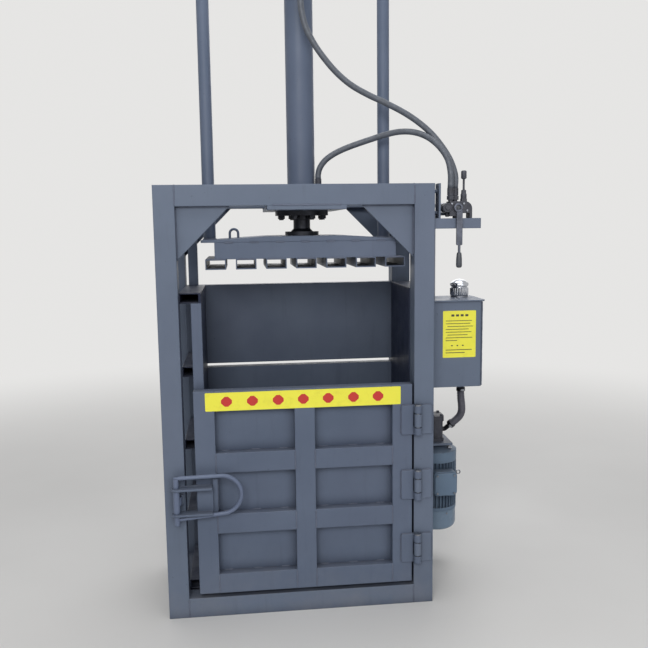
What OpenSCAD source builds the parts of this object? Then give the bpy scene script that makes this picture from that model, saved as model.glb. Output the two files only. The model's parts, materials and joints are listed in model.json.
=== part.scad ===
// Vertical recycling baler: welded tube frame, side hung door, platen driven by one
// hydraulic cylinder, and a power unit on the right hand side.
// The origin is on the floor, under the middle of the front base beam.
// X runs to the right, Y into the machine and Z up.

/* [Frame] */
// Overall width of the welded frame
frame_w = 1080; // [1040:10:1140]
// Height of the welded frame above the floor
frame_h = 1720; // [1680:10:1800]
// Depth of the welded frame, front face to rear face
frame_d = 520; // [500:10:560]
// Side of the square frame tube
beam = 80; // [70:5:84]
// Wall of the square frame tube
beam_wall = 5; // [3:0.5:8]
// Leg of the triangular corner gussets
gusset_leg = 205; // [120:5:240]
// Thickness of the corner gussets
gusset_t = 10; // [6:1:16]

/* [Chamber] */
// Clear width between the side walls of the chamber
chamber_w = 832; // [800:2:840]
// Height of the chamber walls above the floor
wall_top = 1308; // [1240:4:1340]
// Thickness of the wall plates
wall_t = 6; // [4:1:10]
// Thickness of the chamber floor
floor_t = 8; // [6:1:12]
// Side of the square posts at the left of the chamber
post = 40; // [30:2:44]
// Height of the tubes that stiffen the walls
rib_h = 40; // [30:2:50]
// Wall of the stiffening tubes
rib_wall = 4; // [3:0.5:5]
// Number of stiffening tubes on each side wall
rib_count = 5; // [3:1:7]
// Height of the middle of the slot through the back wall
slot_z = 950; // [700:10:1100]
// Height of the slot through the back wall
slot_h = 18; // [10:1:30]

/* [Door] */
// Height of the door
door_h = 830; // [760:5:850]
// Gap between the base beam and the door
door_sill_gap = 18; // [10:1:30]
// Gap between the door and the right hand column
door_side_gap = 9; // [6:1:12]
// How far the door stands in front of the columns
door_proud = 2; // [1:0.5:4]
// Width of the door's stiles and rails
door_bar = 80; // [60:5:90]
// Depth of the door's stiles and rails
door_bar_d = 40; // [30:2:40]
// Wall of the door's stiles and rails
door_bar_wall = 4; // [3:0.5:6]
// Rows of recessed panels in the door
door_rows = 3; // [2:1:4]
// Columns of recessed panels in the door
door_cols = 2; // [1:1:3]
// Thickness of the plate behind the door's bars
door_plate_t = 6; // [4:1:6]

/* [Hinges] */
// Height of one hinge
hinge_h = 120; // [90:5:140]
// Outer diameter of a hinge knuckle
knuckle_d = 34; // [28:1:36]
// Diameter of a hinge pin
hinge_pin_d = 18; // [12:1:20]
// Thickness of a hinge leaf
leaf_t = 8; // [5:1:10]
// Distance from a door edge to the middle of the nearest hinge
hinge_inset = 145; // [110:5:170]

/* [Latch] */
// Height of the middle of the latch
latch_z = 501; // [440:1:560]
// Distance between the outer faces of the two hasp plates
hasp_span = 110; // [90:2:130]
// Thickness of a hasp plate
hasp_t = 8; // [6:1:12]
// Diameter of the latch pin
latch_pin_d = 22; // [16:1:26]
// Diameter of the bent rod of the handle
handle_rod_d = 14; // [10:1:18]
// Height between the two legs of the handle
handle_span = 160; // [140:5:190]
// Reach of the handle from the pin
handle_reach = 255; // [200:5:300]

/* [Platen] */
// Width of the platen over its outer tubes
platen_w = 790; // [760:2:800]
// Gap between the raised platen's rod foot and the gland above it
foot_gap = 51; // [20:1:80]
// Travel of the platen
stroke = 800; // [700:10:820]
// Width of one platen tube
bar_w = 80; // [60:2:86]
// Height of one platen tube
bar_h = 40; // [30:2:50]
// Wall of a platen tube
bar_wall = 4; // [3:0.5:6]
// Number of platen tubes
bar_count = 7; // [5:1:7]
// Gap between the platen and the plates in front of and behind it
platen_gap = 12; // [8:1:20]
// Length of the two channels across the tubes
channel_l = 716; // [640:4:740]
// Height of the channels
channel_h = 65; // [50:1:75]
// Width of the channels' flanges
channel_w = 42; // [30:1:50]
// Thickness of the channels
channel_t = 7; // [5:1:9]
// Thickness of the folded top plate
hat_t = 10; // [6:1:12]
// Rise of the middle of the folded top plate
hat_rise = 12; // [6:1:20]
// Length of the flat middle of the folded top plate
hat_flat = 300; // [220:10:360]
// Side of the square guide posts
guide = 50; // [40:2:54]
// Distance of the left guide post from the ram's axis
guide_left = 382; // [370:1:384]
// Distance of the right guide post from the ram's axis
guide_right = 346; // [330:1:380]
// Clearance of a guide post in its sleeve on each side
guide_clear = 0.5; // [0.3:0.1:1]

/* [Cylinder] */
// Outer diameter of the cylinder tube
tube_d = 114; // [108:1:120]
// Bore of the cylinder
bore_d = 100; // [90:1:102]
// Diameter of the piston rod
rod_d = 70; // [56:1:76]
// Diameter of the cylinder's mounting flange
flange_d = 220; // [200:5:240]
// Thickness of the cylinder's mounting flange
flange_t = 20; // [14:1:26]
// Width of the plate that carries the cylinder
mount_plate_w = 306; // [260:2:340]
// Thickness of the plate that carries the cylinder
mount_plate_t = 16; // [10:1:20]
// Number of flange bolts
bolt_count = 8; // [6:1:12]
// Diameter of the flange bolts
bolt_d = 16; // [12:1:18]
// Length of the piston
piston_l = 60; // [40:2:80]
// Radial clearance of every turning or sliding fit
fit = 0.05; // [0.02:0.01:0.08]

/* [Power unit] */
// Width of the oil tank
tank_w = 227; // [200:1:260]
// Depth of the oil tank
tank_d = 200; // [160:5:240]
// Height of the oil tank
tank_h = 365; // [300:5:380]
// Height of the tank's underside above the floor
tank_z = 885; // [860:5:900]
// Diameter of the filler cap
cap_d = 80; // [60:1:84]
// Diameter of the electric motor over its fins
motor_d = 190; // [170:2:196]
// Length of the finned motor body
motor_l = 266; // [230:2:300]
// Height of the motor's mounting face above the floor
motor_top = 583; // [570:1:600]
// Diameter of the motor shaft
shaft_d = 28; // [20:1:32]
// Number of motor fins
fin_count = 36; // [24:4:48]
// Width of the valve's carrying angle
angle_w = 40; // [34:1:46]
// Reach of the valve's carrying angle from the column
angle_l = 188; // [175:1:200]
// Length of the valve lever below its pivot
lever_l = 235; // [180:5:260]
// Outer diameter of the two cylinder hoses
hose_d = 24; // [18:1:26]
// Outer diameter of the suction hose
suction_d = 33; // [28:1:36]

/* [Hidden] */
$fn = 64;

paint = "lightslategray";
dark_paint = "slategray";
motor_paint = "cadetblue";
steel = "silver";
black = "dimgray";
cut = 1;          // how far a cutting body reaches past the face it opens
seat = 0.3;       // running gap between faces that slide or turn past each other

// Frame planes
half_w = frame_w / 2;
column_in = half_w - beam;
front_y = -beam / 2;
front_in = beam / 2;
rear_y = front_y + frame_d;
rear_in = rear_y - beam;
mid_y = (front_y + rear_y) / 2;
top_beam_z = frame_h - beam;

// Chamber planes
wall_lap = 4;     // how far the right wall plate stands inside the columns
chamber_right = column_in - wall_lap;
chamber_left = chamber_right - chamber_w;
ram_x = (chamber_left + chamber_right) / 2;
floor_top = beam + floor_t;
left_wall_out = chamber_left - wall_t;
right_wall_out = chamber_right + wall_t;

// Door planes
door_left = chamber_left - post;
door_right = column_in - door_side_gap;
door_w = door_right - door_left;
door_bottom = beam + door_sill_gap;
door_top = door_bottom + door_h;
door_front = front_y - door_proud;
door_bar_back = door_front + door_bar_d;
door_back = door_bar_back + door_plate_t;
post_gap = 4;     // gap between the closed door and the post behind it
post_front = door_back + post_gap;
post_back = post_front + post;

// Hinge places
knuckle_r = knuckle_d / 2;
hinge_x = (door_right + column_in) / 2 + knuckle_r - 1;
hinge_y = front_y - knuckle_r - 3;
leaf_reach = 60;  // length of a hinge leaf from the hinge's axis
hinge_zs = [door_bottom + hinge_inset, (door_bottom + door_top) / 2, door_top - hinge_inset];

// Latch places
pin_x = -half_w + 49;
pin_y = door_front - 36;
hasp_low = latch_z - hasp_span / 2;
hasp_high = latch_z + hasp_span / 2;
stile_right = door_left + door_bar;

// Platen and cylinder planes, from the top beams down
rod_foot_t = 16;
rod_foot_d = rod_d * 2;
gland_lip = 14;   // part of the gland that shows under the flange
plate_z = top_beam_z - mount_plate_t;
flange_z = plate_z - flange_t;
rod_start = flange_z - gland_lip - foot_gap;
hat_top = rod_start - rod_foot_t;
channel_top = hat_top - hat_t - hat_rise;
bar_top = channel_top - channel_h;
platen_z = bar_top - bar_h;
platen_front = door_back + post_gap + platen_gap;
platen_back = rear_in - platen_gap;

// Cylinder planes above the flange
gland_l = 76;     // part of the gland inside the tube
piston_play = 10; // free length left at each end of the travel
piston_low = flange_z + gland_l + piston_play + stroke;
piston_top = piston_low + piston_l;
tube_top = piston_top + piston_play;
end_cap_t = 30;
guide_top = frame_h + stroke + 40;
upper_port_z = tube_top - 60;
lower_port_z = frame_h - 14;

// Power unit places
tank_x = half_w + 8;
tank_y = front_in + 30;
tank_top = tank_z + tank_h;
neck_x = tank_x + tank_w - 60;
neck_y = tank_y + tank_d - 60;
neck_d = cap_d - 24;
outlet_x = tank_x + tank_w - 53;
outlet_y = tank_y + 125;
motor_x = half_w + 5 + motor_d / 2;
motor_y = rear_in - 90;
shield_h = 33;
body_top = motor_top - shield_h;
body_low = body_top - motor_l;
cowl_low = body_low - 93;
bracket_t = 10;
pump_z = motor_top + bracket_t;
pump_w = 64;
pump_d = 90;
pump_h = 116;
pump_step = 6;    // how far the pump's middle stands inside its covers
angle_z = frame_h - 136;
valve_x = half_w + 94;
valve_y = front_y + 36;
pivot_z = angle_z + 41;
valve_top = angle_z + 66;
pipe_d = 16;

// The routes of the hoses: heights are above the frame, and below the tank for the suction hose
upper_route = [[40, 118, 788], [40, 118, 740], [43, 118, 680], [58, 117, 615], [91, 115, 550],
    [130, 113, 495], [178, 109, 440], [234, 102, 392], [300, 95, 354], [368, 88, 322],
    [434, 80, 288], [492, 71, 250], [545, 58, 203], [588, 43, 148], [619, 25, 90],
    [634, 10, 32], [634, 10, -18]];
lower_route = [[108, 188, 32], [108, 188, 50], [116, 186, 78], [137, 183, 106],
    [170, 178, 130], [212, 170, 150], [262, 158, 168], [320, 142, 186], [376, 122, 202], [432, 98, 211],
    [487, 72, 205], [535, 43, 181], [573, 14, 141], [599, -8, 92], [608, -18, 36],
    [608, -18, -18]];
suction_route = [[722, 195, -27], [722, 195, -53], [725, 199, -83], [731, 208, -115],
    [735, 222, -144], [733, 242, -170], [721, 261, -193], [697, 281, -221]];
hose_sides = 8;

function raised(route, z) = [for (p = route) p + [0, 0, z]];
function along(axis, a, b) = [for (i = [0:2]) i == axis ? a : b];
function unit(v) = v / norm(v);

module block(low, high) {
    translate(low) cube(high - low);
}

// A rectangular tube along one axis, open at both ends unless a cap is given
module tube_bar(low, high, axis, wall, cap_low = 0, cap_high = 0) {
    difference() {
        block(low, high);
        block(low + along(axis, cap_low > 0 ? cap_low : -cut, wall),
            high - along(axis, cap_high > 0 ? cap_high : -cut, wall));
    }
}

// A round bar between two points
module rod_between(a, b, d) {
    v = b - a;
    translate(a)
        rotate([0, acos(v.z / norm(v)), atan2(v.y, v.x)])
            cylinder(h = norm(v), d = d);
}

// A bent round bar through a list of points, with ball corners
module bent_rod(points, d) {
    for (i = [0 : len(points) - 2])
        rod_between(points[i], points[i + 1], d);
    if (len(points) > 2)
        for (i = [1 : len(points) - 2])
            translate(points[i]) sphere(d = d);
}

// A route with each corner replaced by a short curve that starts r before it
function rounded(route, r) = [
    route[0],
    for (i = [1 : len(route) - 2])
        let (a = route[i] + r * unit(route[i - 1] - route[i]), b = route[i] + r * unit(route[i + 1] - route[i]))
        for (t = [0, 0.25, 0.5, 0.75, 1])
            (1 - t) * (1 - t) * a + 2 * t * (1 - t) * route[i] + t * t * b,
    route[len(route) - 1]];

// A hose or pipe as one closed tube of rings along its route
module hose(route, d) {
    last = len(route) - 1;
    side = [for (i = [0 : last])
        unit(route[min(i + 1, last)] - route[max(i - 1, 0)])];
    ring = [for (i = [0 : last])
        let (u = unit(cross(side[i], [0, 1, 0.2])), v = cross(side[i], u))
        [for (k = [0 : hose_sides - 1])
            route[i] + d / 2 * (cos(360 * k / hose_sides) * u + sin(360 * k / hose_sides) * v)]];
    points = [for (r = ring) each r];
    walls = [for (i = [0 : last - 1]) for (k = [0 : hose_sides - 1])
        let (n = (k + 1) % hose_sides, a = i * hose_sides, b = a + hose_sides)
        each [[a + k, b + n, a + n], [a + k, b + k, b + n]]];
    start = [for (k = [0 : hose_sides - 1]) k];
    end = [for (k = [hose_sides - 1 : -1 : 0]) last * hose_sides + k];
    polyhedron(points, concat(walls, [start, end]));
}

// Frame

module column_pair(y, keeper) {
    for (x = [-half_w, column_in])
        tube_bar([x, y, 0], [x + beam, y + beam, frame_h], 2, beam_wall, 0, beam_wall);
    if (keeper)
        block([pin_x + latch_pin_d / 2 + 4, front_y - 12, latch_z - 20],
            [pin_x + latch_pin_d / 2 + 14, front_y, latch_z + 20]);
}

module front_columns() {
    color(paint) column_pair(front_y, true);
}

module rear_columns() {
    color(paint) column_pair(rear_in, false);
}

module cross_beams(z) {
    for (y = [front_y, rear_in])
        tube_bar([-column_in, y, z], [column_in, y + beam, z + beam], 0, beam_wall);
}

module top_beams() {
    color(paint) cross_beams(top_beam_z);
}

module base_beams() {
    color(paint) cross_beams(0);
}

module side_rails() {
    joist_x = chamber_w / 4;
    color(paint) {
        for (x = [-half_w, column_in], z = [0, top_beam_z])
            tube_bar([x, front_in, z], [x + beam, rear_in, z + beam], 1, beam_wall);
        for (x = [ram_x - joist_x, ram_x + joist_x])
            tube_bar([x - beam / 2, front_in, 0], [x + beam / 2, rear_in, beam], 1, beam_wall);
    }
}

module gusset(side, y) {
    translate([side * column_in, y + gusset_t, top_beam_z])
        rotate([90, 0, 0])
            linear_extrude(gusset_t)
                polygon([[0, 0], [-side * gusset_leg, 0], [0, -gusset_leg]]);
}

module corner_gussets() {
    inset = 20;
    color(paint)
        for (side = [-1, 1]) {
            gusset(side, front_y + inset);
            gusset(side, rear_y - inset - gusset_t);
        }
}

// Chamber

function rib_z(i) = beam + (wall_top - rib_h - beam) * i / (rib_count - 1);

module chamber_floor() {
    color(dark_paint)
        block([chamber_left, 0, beam], [chamber_right, rear_in, floor_top]);
}

module left_wall() {
    color(dark_paint) {
        block([left_wall_out, post_back, beam], [chamber_left, rear_in, wall_top]);
        block([left_wall_out, post_front, wall_top - rib_h], [chamber_left, post_back, wall_top]);
    }
}

module right_wall() {
    color(dark_paint)
        block([chamber_right, front_in, beam], [right_wall_out, rear_in, wall_top]);
}

module left_wall_ribs() {
    color(paint)
        for (i = [0 : rib_count - 1]) {
            front = i == rib_count - 1 ? post_front : post_back;
            tube_bar([-column_in, front, rib_z(i)], [left_wall_out, rear_in, rib_z(i) + rib_h], 1, rib_wall);
        }
}

module right_wall_ribs() {
    color(paint)
        for (i = [0 : rib_count - 1])
            tube_bar([right_wall_out, front_in, rib_z(i)], [half_w, rear_in, rib_z(i) + rib_h], 1, rib_wall);
}

module wall_posts() {
    rear_post_x = -column_in + 14;
    color(paint) {
        tube_bar([door_left, post_front, beam], [chamber_left, post_back, wall_top - rib_h], 2, rib_wall);
        tube_bar([rear_post_x, rear_in + wall_t, wall_top],
            [rear_post_x + post, rear_in + wall_t + rib_h, top_beam_z], 2, rib_wall);
    }
}

module back_wall() {
    color(dark_paint) {
        block([-column_in, rear_in, beam], [column_in, rear_in + wall_t, slot_z - slot_h / 2]);
        block([-column_in, rear_in, slot_z + slot_h / 2], [column_in, rear_in + wall_t, wall_top]);
    }
}

module back_wall_bars() {
    low_mid = (beam + slot_z - slot_h / 2 - rib_h) / 2;
    y = rear_in + wall_t;
    color(paint)
        for (z = [beam, low_mid, slot_z - slot_h / 2 - rib_h, slot_z + slot_h / 2, wall_top - rib_h])
            tube_bar([-column_in, y, z], [column_in, y + rib_h, z + rib_h], 0, rib_wall);
}

// Cylinder and guides

module bolt_circle(d) {
    for (i = [0 : bolt_count - 1])
        rotate(360 * (i + 0.5) / bolt_count)
            translate([d / 2, 0, 0]) children();
}

bolt_pcd = (flange_d + tube_d) / 2 + 16;

module cylinder_plate() {
    color(paint)
        difference() {
            block([ram_x - mount_plate_w / 2, front_y, plate_z], [ram_x + mount_plate_w / 2, rear_y, top_beam_z]);
            translate([ram_x, mid_y, plate_z - cut]) {
                cylinder(h = mount_plate_t + 2 * cut, d = tube_d + 2 * seat);
                bolt_circle(bolt_pcd) cylinder(h = mount_plate_t + 2 * cut, d = bolt_d);
            }
        }
}

module guide_sleeves() {
    wall = 6;
    inner = guide / 2 + guide_clear;
    web = 10;
    color(paint)
        for (x = [ram_x - guide_left, ram_x + guide_right])
            difference() {
                union() {
                    block([x - inner - wall, mid_y - inner - wall, top_beam_z],
                        [x + inner + wall, mid_y + inner + wall, frame_h]);
                    block([x - web / 2, front_in, top_beam_z], [x + web / 2, rear_in, frame_h]);
                }
                block([x - inner, mid_y - inner, top_beam_z - cut], [x + inner, mid_y + inner, frame_h + cut]);
            }
}

module port_hole(z, angle) {
    translate([0, 0, z]) rotate([0, 90, angle]) cylinder(h = tube_d, d = 10);
}

upper_port_angle = -90;
lower_port_angle = -25;

module cylinder_tube() {
    color(paint)
        translate([ram_x, mid_y, 0])
            difference() {
                translate([0, 0, flange_z]) cylinder(h = tube_top - flange_z, d = tube_d);
                translate([0, 0, flange_z - cut]) cylinder(h = tube_top - flange_z + 2 * cut, d = bore_d);
                port_hole(upper_port_z + 26, upper_port_angle);
                port_hole(lower_port_z, lower_port_angle);
            }
}

module cylinder_flange() {
    color(black)
        translate([ram_x, mid_y, flange_z])
            difference() {
                cylinder(h = flange_t, d = flange_d);
                translate([0, 0, -cut]) cylinder(h = flange_t + 2 * cut, d = tube_d);
                translate([0, 0, -cut]) bolt_circle(bolt_pcd) cylinder(h = flange_t + 2 * cut, d = bolt_d);
            }
}

module rod_gland() {
    color(steel)
        translate([ram_x, mid_y, flange_z])
            difference() {
                union() {
                    translate([0, 0, -gland_lip]) cylinder(h = gland_lip, d = tube_d - 4);
                    cylinder(h = gland_l, d = bore_d);
                }
                translate([0, 0, -gland_lip - cut])
                    cylinder(h = gland_lip + gland_l + 2 * cut, d = rod_d + 2 * fit);
            }
}

module cylinder_cap() {
    color(paint)
        translate([ram_x, mid_y, tube_top])
            rotate_extrude()
                polygon([[0, 0], [tube_d / 2, 0], [tube_d / 2, end_cap_t - 6], [tube_d / 2 - 6, end_cap_t],
                    [0, end_cap_t]]);
}

module flange_bolts() {
    head_h = 10;
    nut_h = 13;
    across = bolt_d * 1.73;
    color(steel)
        translate([ram_x, mid_y, 0])
            bolt_circle(bolt_pcd) {
                translate([0, 0, flange_z - nut_h - 5]) cylinder(h = nut_h + 5 + flange_t + mount_plate_t, d = bolt_d);
                translate([0, 0, flange_z - nut_h]) cylinder(h = nut_h, d = across, $fn = 6);
                translate([0, 0, top_beam_z]) cylinder(h = head_h, d = across, $fn = 6);
            }
}

// A hose end: stub, hexagon and ferrule from the port, up or down to the start of the hose
module hose_end(hose_start, reach) {
    ferrule = 0.55 * reach;
    translate(hose_start)
        mirror([0, 0, reach > 0 ? 0 : 1]) {
            translate([0, 0, -abs(reach)]) cylinder(h = abs(reach), d = hose_d * 0.8);
            translate([0, 0, -0.88 * abs(reach)]) cylinder(h = 0.3 * abs(reach), d = hose_d * 1.25, $fn = 6);
            translate([0, 0, -abs(ferrule)]) cylinder(h = abs(ferrule), d = hose_d * 1.1);
        }
}

upper_start = [ram_x, mid_y - tube_d / 2 - 45, upper_port_z + 8];
lower_start = [ram_x + tube_d / 2 + 11, mid_y - 32, lower_port_z + 46];
valve_fitting_h = 52;
upper_end = [valve_x, valve_y + 14, valve_top + valve_fitting_h];
lower_end = [valve_x - 26, valve_y - 14, valve_top + valve_fitting_h];

// A round boss that fits against the side of the cylinder tube
module port_boss(z, angle, length, d) {
    difference() {
        translate([ram_x, mid_y, z]) rotate([0, 90, angle]) cylinder(h = tube_d / 2 + length, d = d);
        translate([ram_x, mid_y, z - d]) cylinder(h = 2 * d, d = tube_d);
    }
}

module hose_fittings() {
    boss = 28;
    color(steel) {
        // Upper port: boss on the front of the tube and an elbow that turns down
        port_boss(upper_port_z + 26, upper_port_angle, boss, 30);
        bent_rod([[ram_x, mid_y - tube_d / 2 - boss / 2, upper_port_z + 26],
            [upper_start.x, upper_start.y, upper_port_z + 26],
            [upper_start.x, upper_start.y, upper_start.z + 30]], 20);
        hose_end(upper_start, -34);
        // Lower port: boss on the right of the tube and an elbow that turns up
        port_boss(lower_port_z, lower_port_angle, 20, 26);
        hose_end(lower_start, 42);
        // The two ports on top of the valve
        hose_end(upper_end, valve_fitting_h);
        hose_end(lower_end, valve_fitting_h);
    }
}

// Power unit

module valve_bracket() {
    leg = 5;
    plate_x = half_w + 18;
    color(paint) {
        block([half_w, front_y + 8, angle_z - angle_w], [half_w + angle_l, front_y + 8 + leg, angle_z]);
        block([half_w, front_y + 8 + leg, angle_z - leg], [half_w + angle_l, front_in + 6, angle_z]);
        block([plate_x, valve_y - 26, angle_z], [plate_x + 8, valve_y + 26, frame_h]);
        for (z = [angle_z + 22, frame_h - 30])
            translate([half_w, valve_y, z]) rotate([0, 90, 0]) cylinder(h = plate_x - half_w, d = 14);
    }
}

// The valve is a cast block: spool housing, spool caps, a domed right end and two feet
module valve_body() {
    d = 52;
    base = angle_z;
    color(black)
        difference() {
            union() {
                block([valve_x - 34, valve_y - d / 2, base + 8], [valve_x + 36, valve_y + d / 2, valve_top]);
                for (x = [valve_x - 26, valve_x + 18])
                    block([x, valve_y - d / 2 + 6, base], [x + 14, valve_y + d / 2 - 6, base + 8]);
                translate([valve_x - 60, valve_y, base + 38])
                    rotate([0, 90, 0]) cylinder(h = 28, d = 36);
                translate([valve_x - 44, valve_y, base + 18])
                    cylinder(h = 14, d = 14);
                translate([valve_x + 36, valve_y + d / 2, base + 8])
                    rotate([90, 0, 0])
                        linear_extrude(d)
                            difference() {
                                union() {
                                    intersection() {
                                        translate([-6, 4]) circle(r = 36);
                                        square([40, 60]);
                                    }
                                    square([24, 18]);
                                }
                                translate([6, 8]) square([12, 12]);
                            }
            }
            translate([valve_x, valve_y - d / 2 - cut, pivot_z])
                rotate([-90, 0, 0]) cylinder(h = 22 + cut, d = 12 + 2 * fit);
        }
}

module relief_valve() {
    x = valve_x + 30;
    color(black)
        translate([x, valve_y + 10, valve_top])
            rotate_extrude()
                polygon([[0, 0], [14, 0], [14, 30], [10, 34], [10, 46], [4, 48], [4, 90], [11, 92], [11, 118],
                    [8, 122], [0, 122]]);
}

lever_y = valve_y - 35;
lever_rod_d = 11;

module valve_lever() {
    front = valve_y - 26;
    color(steel) {
        translate([valve_x, front - 14, pivot_z])
            rotate([-90, 0, 0]) cylinder(h = 14 + 20, d = 12);
        translate([valve_x, front - 14, pivot_z])
            rotate([-90, 0, 0]) cylinder(h = 13, d = 36);
        translate([valve_x, lever_y, pivot_z - lever_l + 80]) cylinder(h = lever_l - 84, d = lever_rod_d);
    }
}

module lever_grip() {
    low = pivot_z - lever_l;
    color(black)
        translate([valve_x, lever_y, low])
            difference() {
                rotate_extrude()
                    polygon([[0, 0], [9, 0], [12, 4], [12, 78], [9, 92], [0, 92]]);
                translate([0, 0, 80]) cylinder(h = 20, d = lever_rod_d);
            }
}

module hydraulic_tank() {
    t = 4;
    r = 12;
    lip = 8;
    low = [tank_x, tank_y, tank_z];
    high = low + [tank_w, tank_d, tank_h];
    color(paint)
        difference() {
            union() {
                round_prism(low, high, r);
                round_prism([low.x, low.y - lip, high.z - 6], high + [lip, 0, 0], r);
            }
            round_prism(low + [t, t, t], high - [t, t, t], r - t);
            translate([outlet_x, outlet_y, tank_z - cut]) cylinder(h = t + 2 * cut, d = suction_d - 12);
            translate([neck_x, neck_y, tank_top - t - cut]) cylinder(h = t + 2 * cut, d = neck_d - 10);
        }
}

// A box with round upright edges, from exact cylinders and blocks
module round_prism(low, high, r) {
    block([low.x + r, low.y, low.z], [high.x - r, high.y, high.z]);
    block([low.x, low.y + r, low.z], [high.x, high.y - r, high.z]);
    for (x = [low.x + r, high.x - r], y = [low.y + r, high.y - r])
        translate([x, y, low.z]) cylinder(h = high.z - low.z, r = r);
}

module tank_brackets() {
    low = tank_z + 15;
    high = wall_top - 8;
    color(paint)
        for (y = [tank_y + 30, tank_y + tank_d - 70])
            block([half_w, y, low], [tank_x, y + 40, high]);
}

module filler_neck() {
    color(steel)
        translate([neck_x, neck_y, tank_top])
            difference() {
                union() {
                    cylinder(h = 6, d = neck_d + 18);
                    cylinder(h = 30, d = neck_d);
                }
                translate([0, 0, -cut]) cylinder(h = 30 + 2 * cut, d = neck_d - 10);
            }
}

// Bayonet cap with a knurled rim and a domed top
module breather_cap() {
    inner = neck_d + 2 * fit;
    color("gainsboro")
        translate([neck_x, neck_y, tank_top + 6 + seat])
            difference() {
                union() {
                    rotate_extrude()
                        polygon([[0, 0], [cap_d / 2 - 2, 0], [cap_d / 2 - 2, 50], [cap_d / 2 - 8, 62],
                            [cap_d / 4, 69], [0, 71]]);
                    for (i = [0 : 23])
                        rotate(15 * i) translate([cap_d / 2 - 3, -2.5, 8]) cube([3, 5, 34]);
                }
                translate([0, 0, -cut]) cylinder(h = 28 + cut, d = inner);
            }
}

module motor_bracket() {
    w = 150;
    reach = motor_x + 60;
    rise = 137;
    low_y = motor_y - w / 2;
    color(paint)
        difference() {
            union() {
                block([half_w, low_y, motor_top], [reach, low_y + w, motor_top + bracket_t]);
                block([half_w, low_y, motor_top], [half_w + 8, low_y + w, motor_top + rise]);
                for (y = [low_y, low_y + w - 8])
                    translate([half_w + 8, y + 8, motor_top + bracket_t])
                        rotate([90, 0, 0])
                            linear_extrude(8) polygon([[0, 0], [42, 0], [0, rise - bracket_t]]);
            }
            translate([motor_x, motor_y, motor_top - cut]) cylinder(h = bracket_t + 2 * cut, d = 60);
        }
}

stator_d = motor_d - 50;
rotor_d = stator_d - 50;
ring_h = 44;      // smooth band at each end of the finned body

module motor_housing() {
    core = motor_d - 26;
    fin_t = 3;
    color(motor_paint)
        translate([motor_x, motor_y, body_low])
            difference() {
                union() {
                    linear_extrude(motor_l) {
                        circle(d = core);
                        for (i = [0 : fin_count - 1])
                            rotate(360 * i / fin_count)
                                translate([0, -fin_t / 2]) square([motor_d / 2, fin_t]);
                    }
                    translate([0, 0, motor_l - ring_h]) cylinder(h = ring_h, d = motor_d);
                    cylinder(h = 16, d = motor_d);
                }
                translate([0, 0, -cut]) cylinder(h = motor_l + 2 * cut, d = stator_d);
            }
}

module motor_stator() {
    color("peru")
        translate([motor_x, motor_y, body_low + 40])
            difference() {
                cylinder(h = motor_l - 80, d = stator_d);
                translate([0, 0, -cut]) cylinder(h = motor_l, d = rotor_d + 1);
            }
}

module motor_end_shields() {
    bore = shaft_d + 2 * fit;
    color(motor_paint)
        translate([motor_x, motor_y, 0]) {
            translate([0, 0, body_top])
                rotate_extrude()
                    polygon([[bore / 2, -12], [stator_d / 2, -12], [stator_d / 2, 0], [motor_d / 2, 0],
                        [motor_d / 2, 3], [40, shield_h - 4], [40, shield_h], [bore / 2, shield_h]]);
            translate([0, 0, body_low])
                rotate_extrude()
                    polygon([[bore / 2, -12], [50, -12], [motor_d / 2 - 8, 0], [stator_d / 2, 0], [stator_d / 2, 12],
                        [bore / 2, 12]]);
        }
}

module terminal_box() {
    w = 105;
    low_z = body_low + 88;
    front = motor_y - motor_d / 2 - 50;
    back = motor_y - motor_d / 2 + 8;
    color(motor_paint)
        difference() {
            union() {
                round_prism([motor_x - w / 2 + 12, front, low_z], [motor_x + w / 2 + 12, back - 6, low_z + 110], 6);
                block([motor_x - 28, back - 6, low_z + 20], [motor_x + 36, back + 22, low_z + 90]);
            }
            translate([motor_x, motor_y, low_z - cut]) cylinder(h = 112 + cut, d = motor_d);
        }
}

// Fan cowl: drawn sheet cup with rounded bottom edge and air slots
module fan_cowl() {
    r = motor_d / 2 - 2;
    t = 2.5;
    depth = body_low - cowl_low;
    turn = 26;
    color(motor_paint)
        translate([motor_x, motor_y, cowl_low])
            difference() {
                rotate_extrude()
                    difference() {
                        union() {
                            translate([0, turn]) square([r, depth - turn]);
                            square([r - turn, depth]);
                            translate([r - turn, turn]) circle(r = turn);
                        }
                        union() {
                            translate([-cut, turn]) square([r - t + cut, depth]);
                            translate([-cut, t]) square([r - turn + cut, depth]);
                            translate([r - turn, turn]) circle(r = turn - t);
                        }
                        translate([-2 * motor_d, -cut]) square([2 * motor_d, depth + 3 * cut]);
                    }
                for (i = [0 : 11])
                    rotate(30 * i) translate([24, -3, -cut]) cube([34, 6, t + 2 * cut]);
            }
}

fan_z = cowl_low + 30;

module motor_shaft() {
    color(steel)
        translate([motor_x, motor_y, 0]) {
            translate([0, 0, fan_z]) cylinder(h = motor_top + 24 - fan_z, d = shaft_d);
            translate([0, 0, body_low + 46]) cylinder(h = motor_l - 92, d = rotor_d);
        }
}

module cooling_fan() {
    blades = 7;
    tip = motor_d / 2 - 14;
    color(black)
        translate([motor_x, motor_y, fan_z])
            difference() {
                union() {
                    cylinder(h = 28, d = 50);
                    translate([0, 0, 24]) cylinder(h = 4, r = tip);
                    for (i = [0 : blades - 1])
                        rotate(360 * i / blades) translate([20, -2, 0]) cube([tip - 24, 4, 26]);
                }
                translate([0, 0, -cut]) cylinder(h = 30 + cut, d = shaft_d);
            }
}

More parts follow.
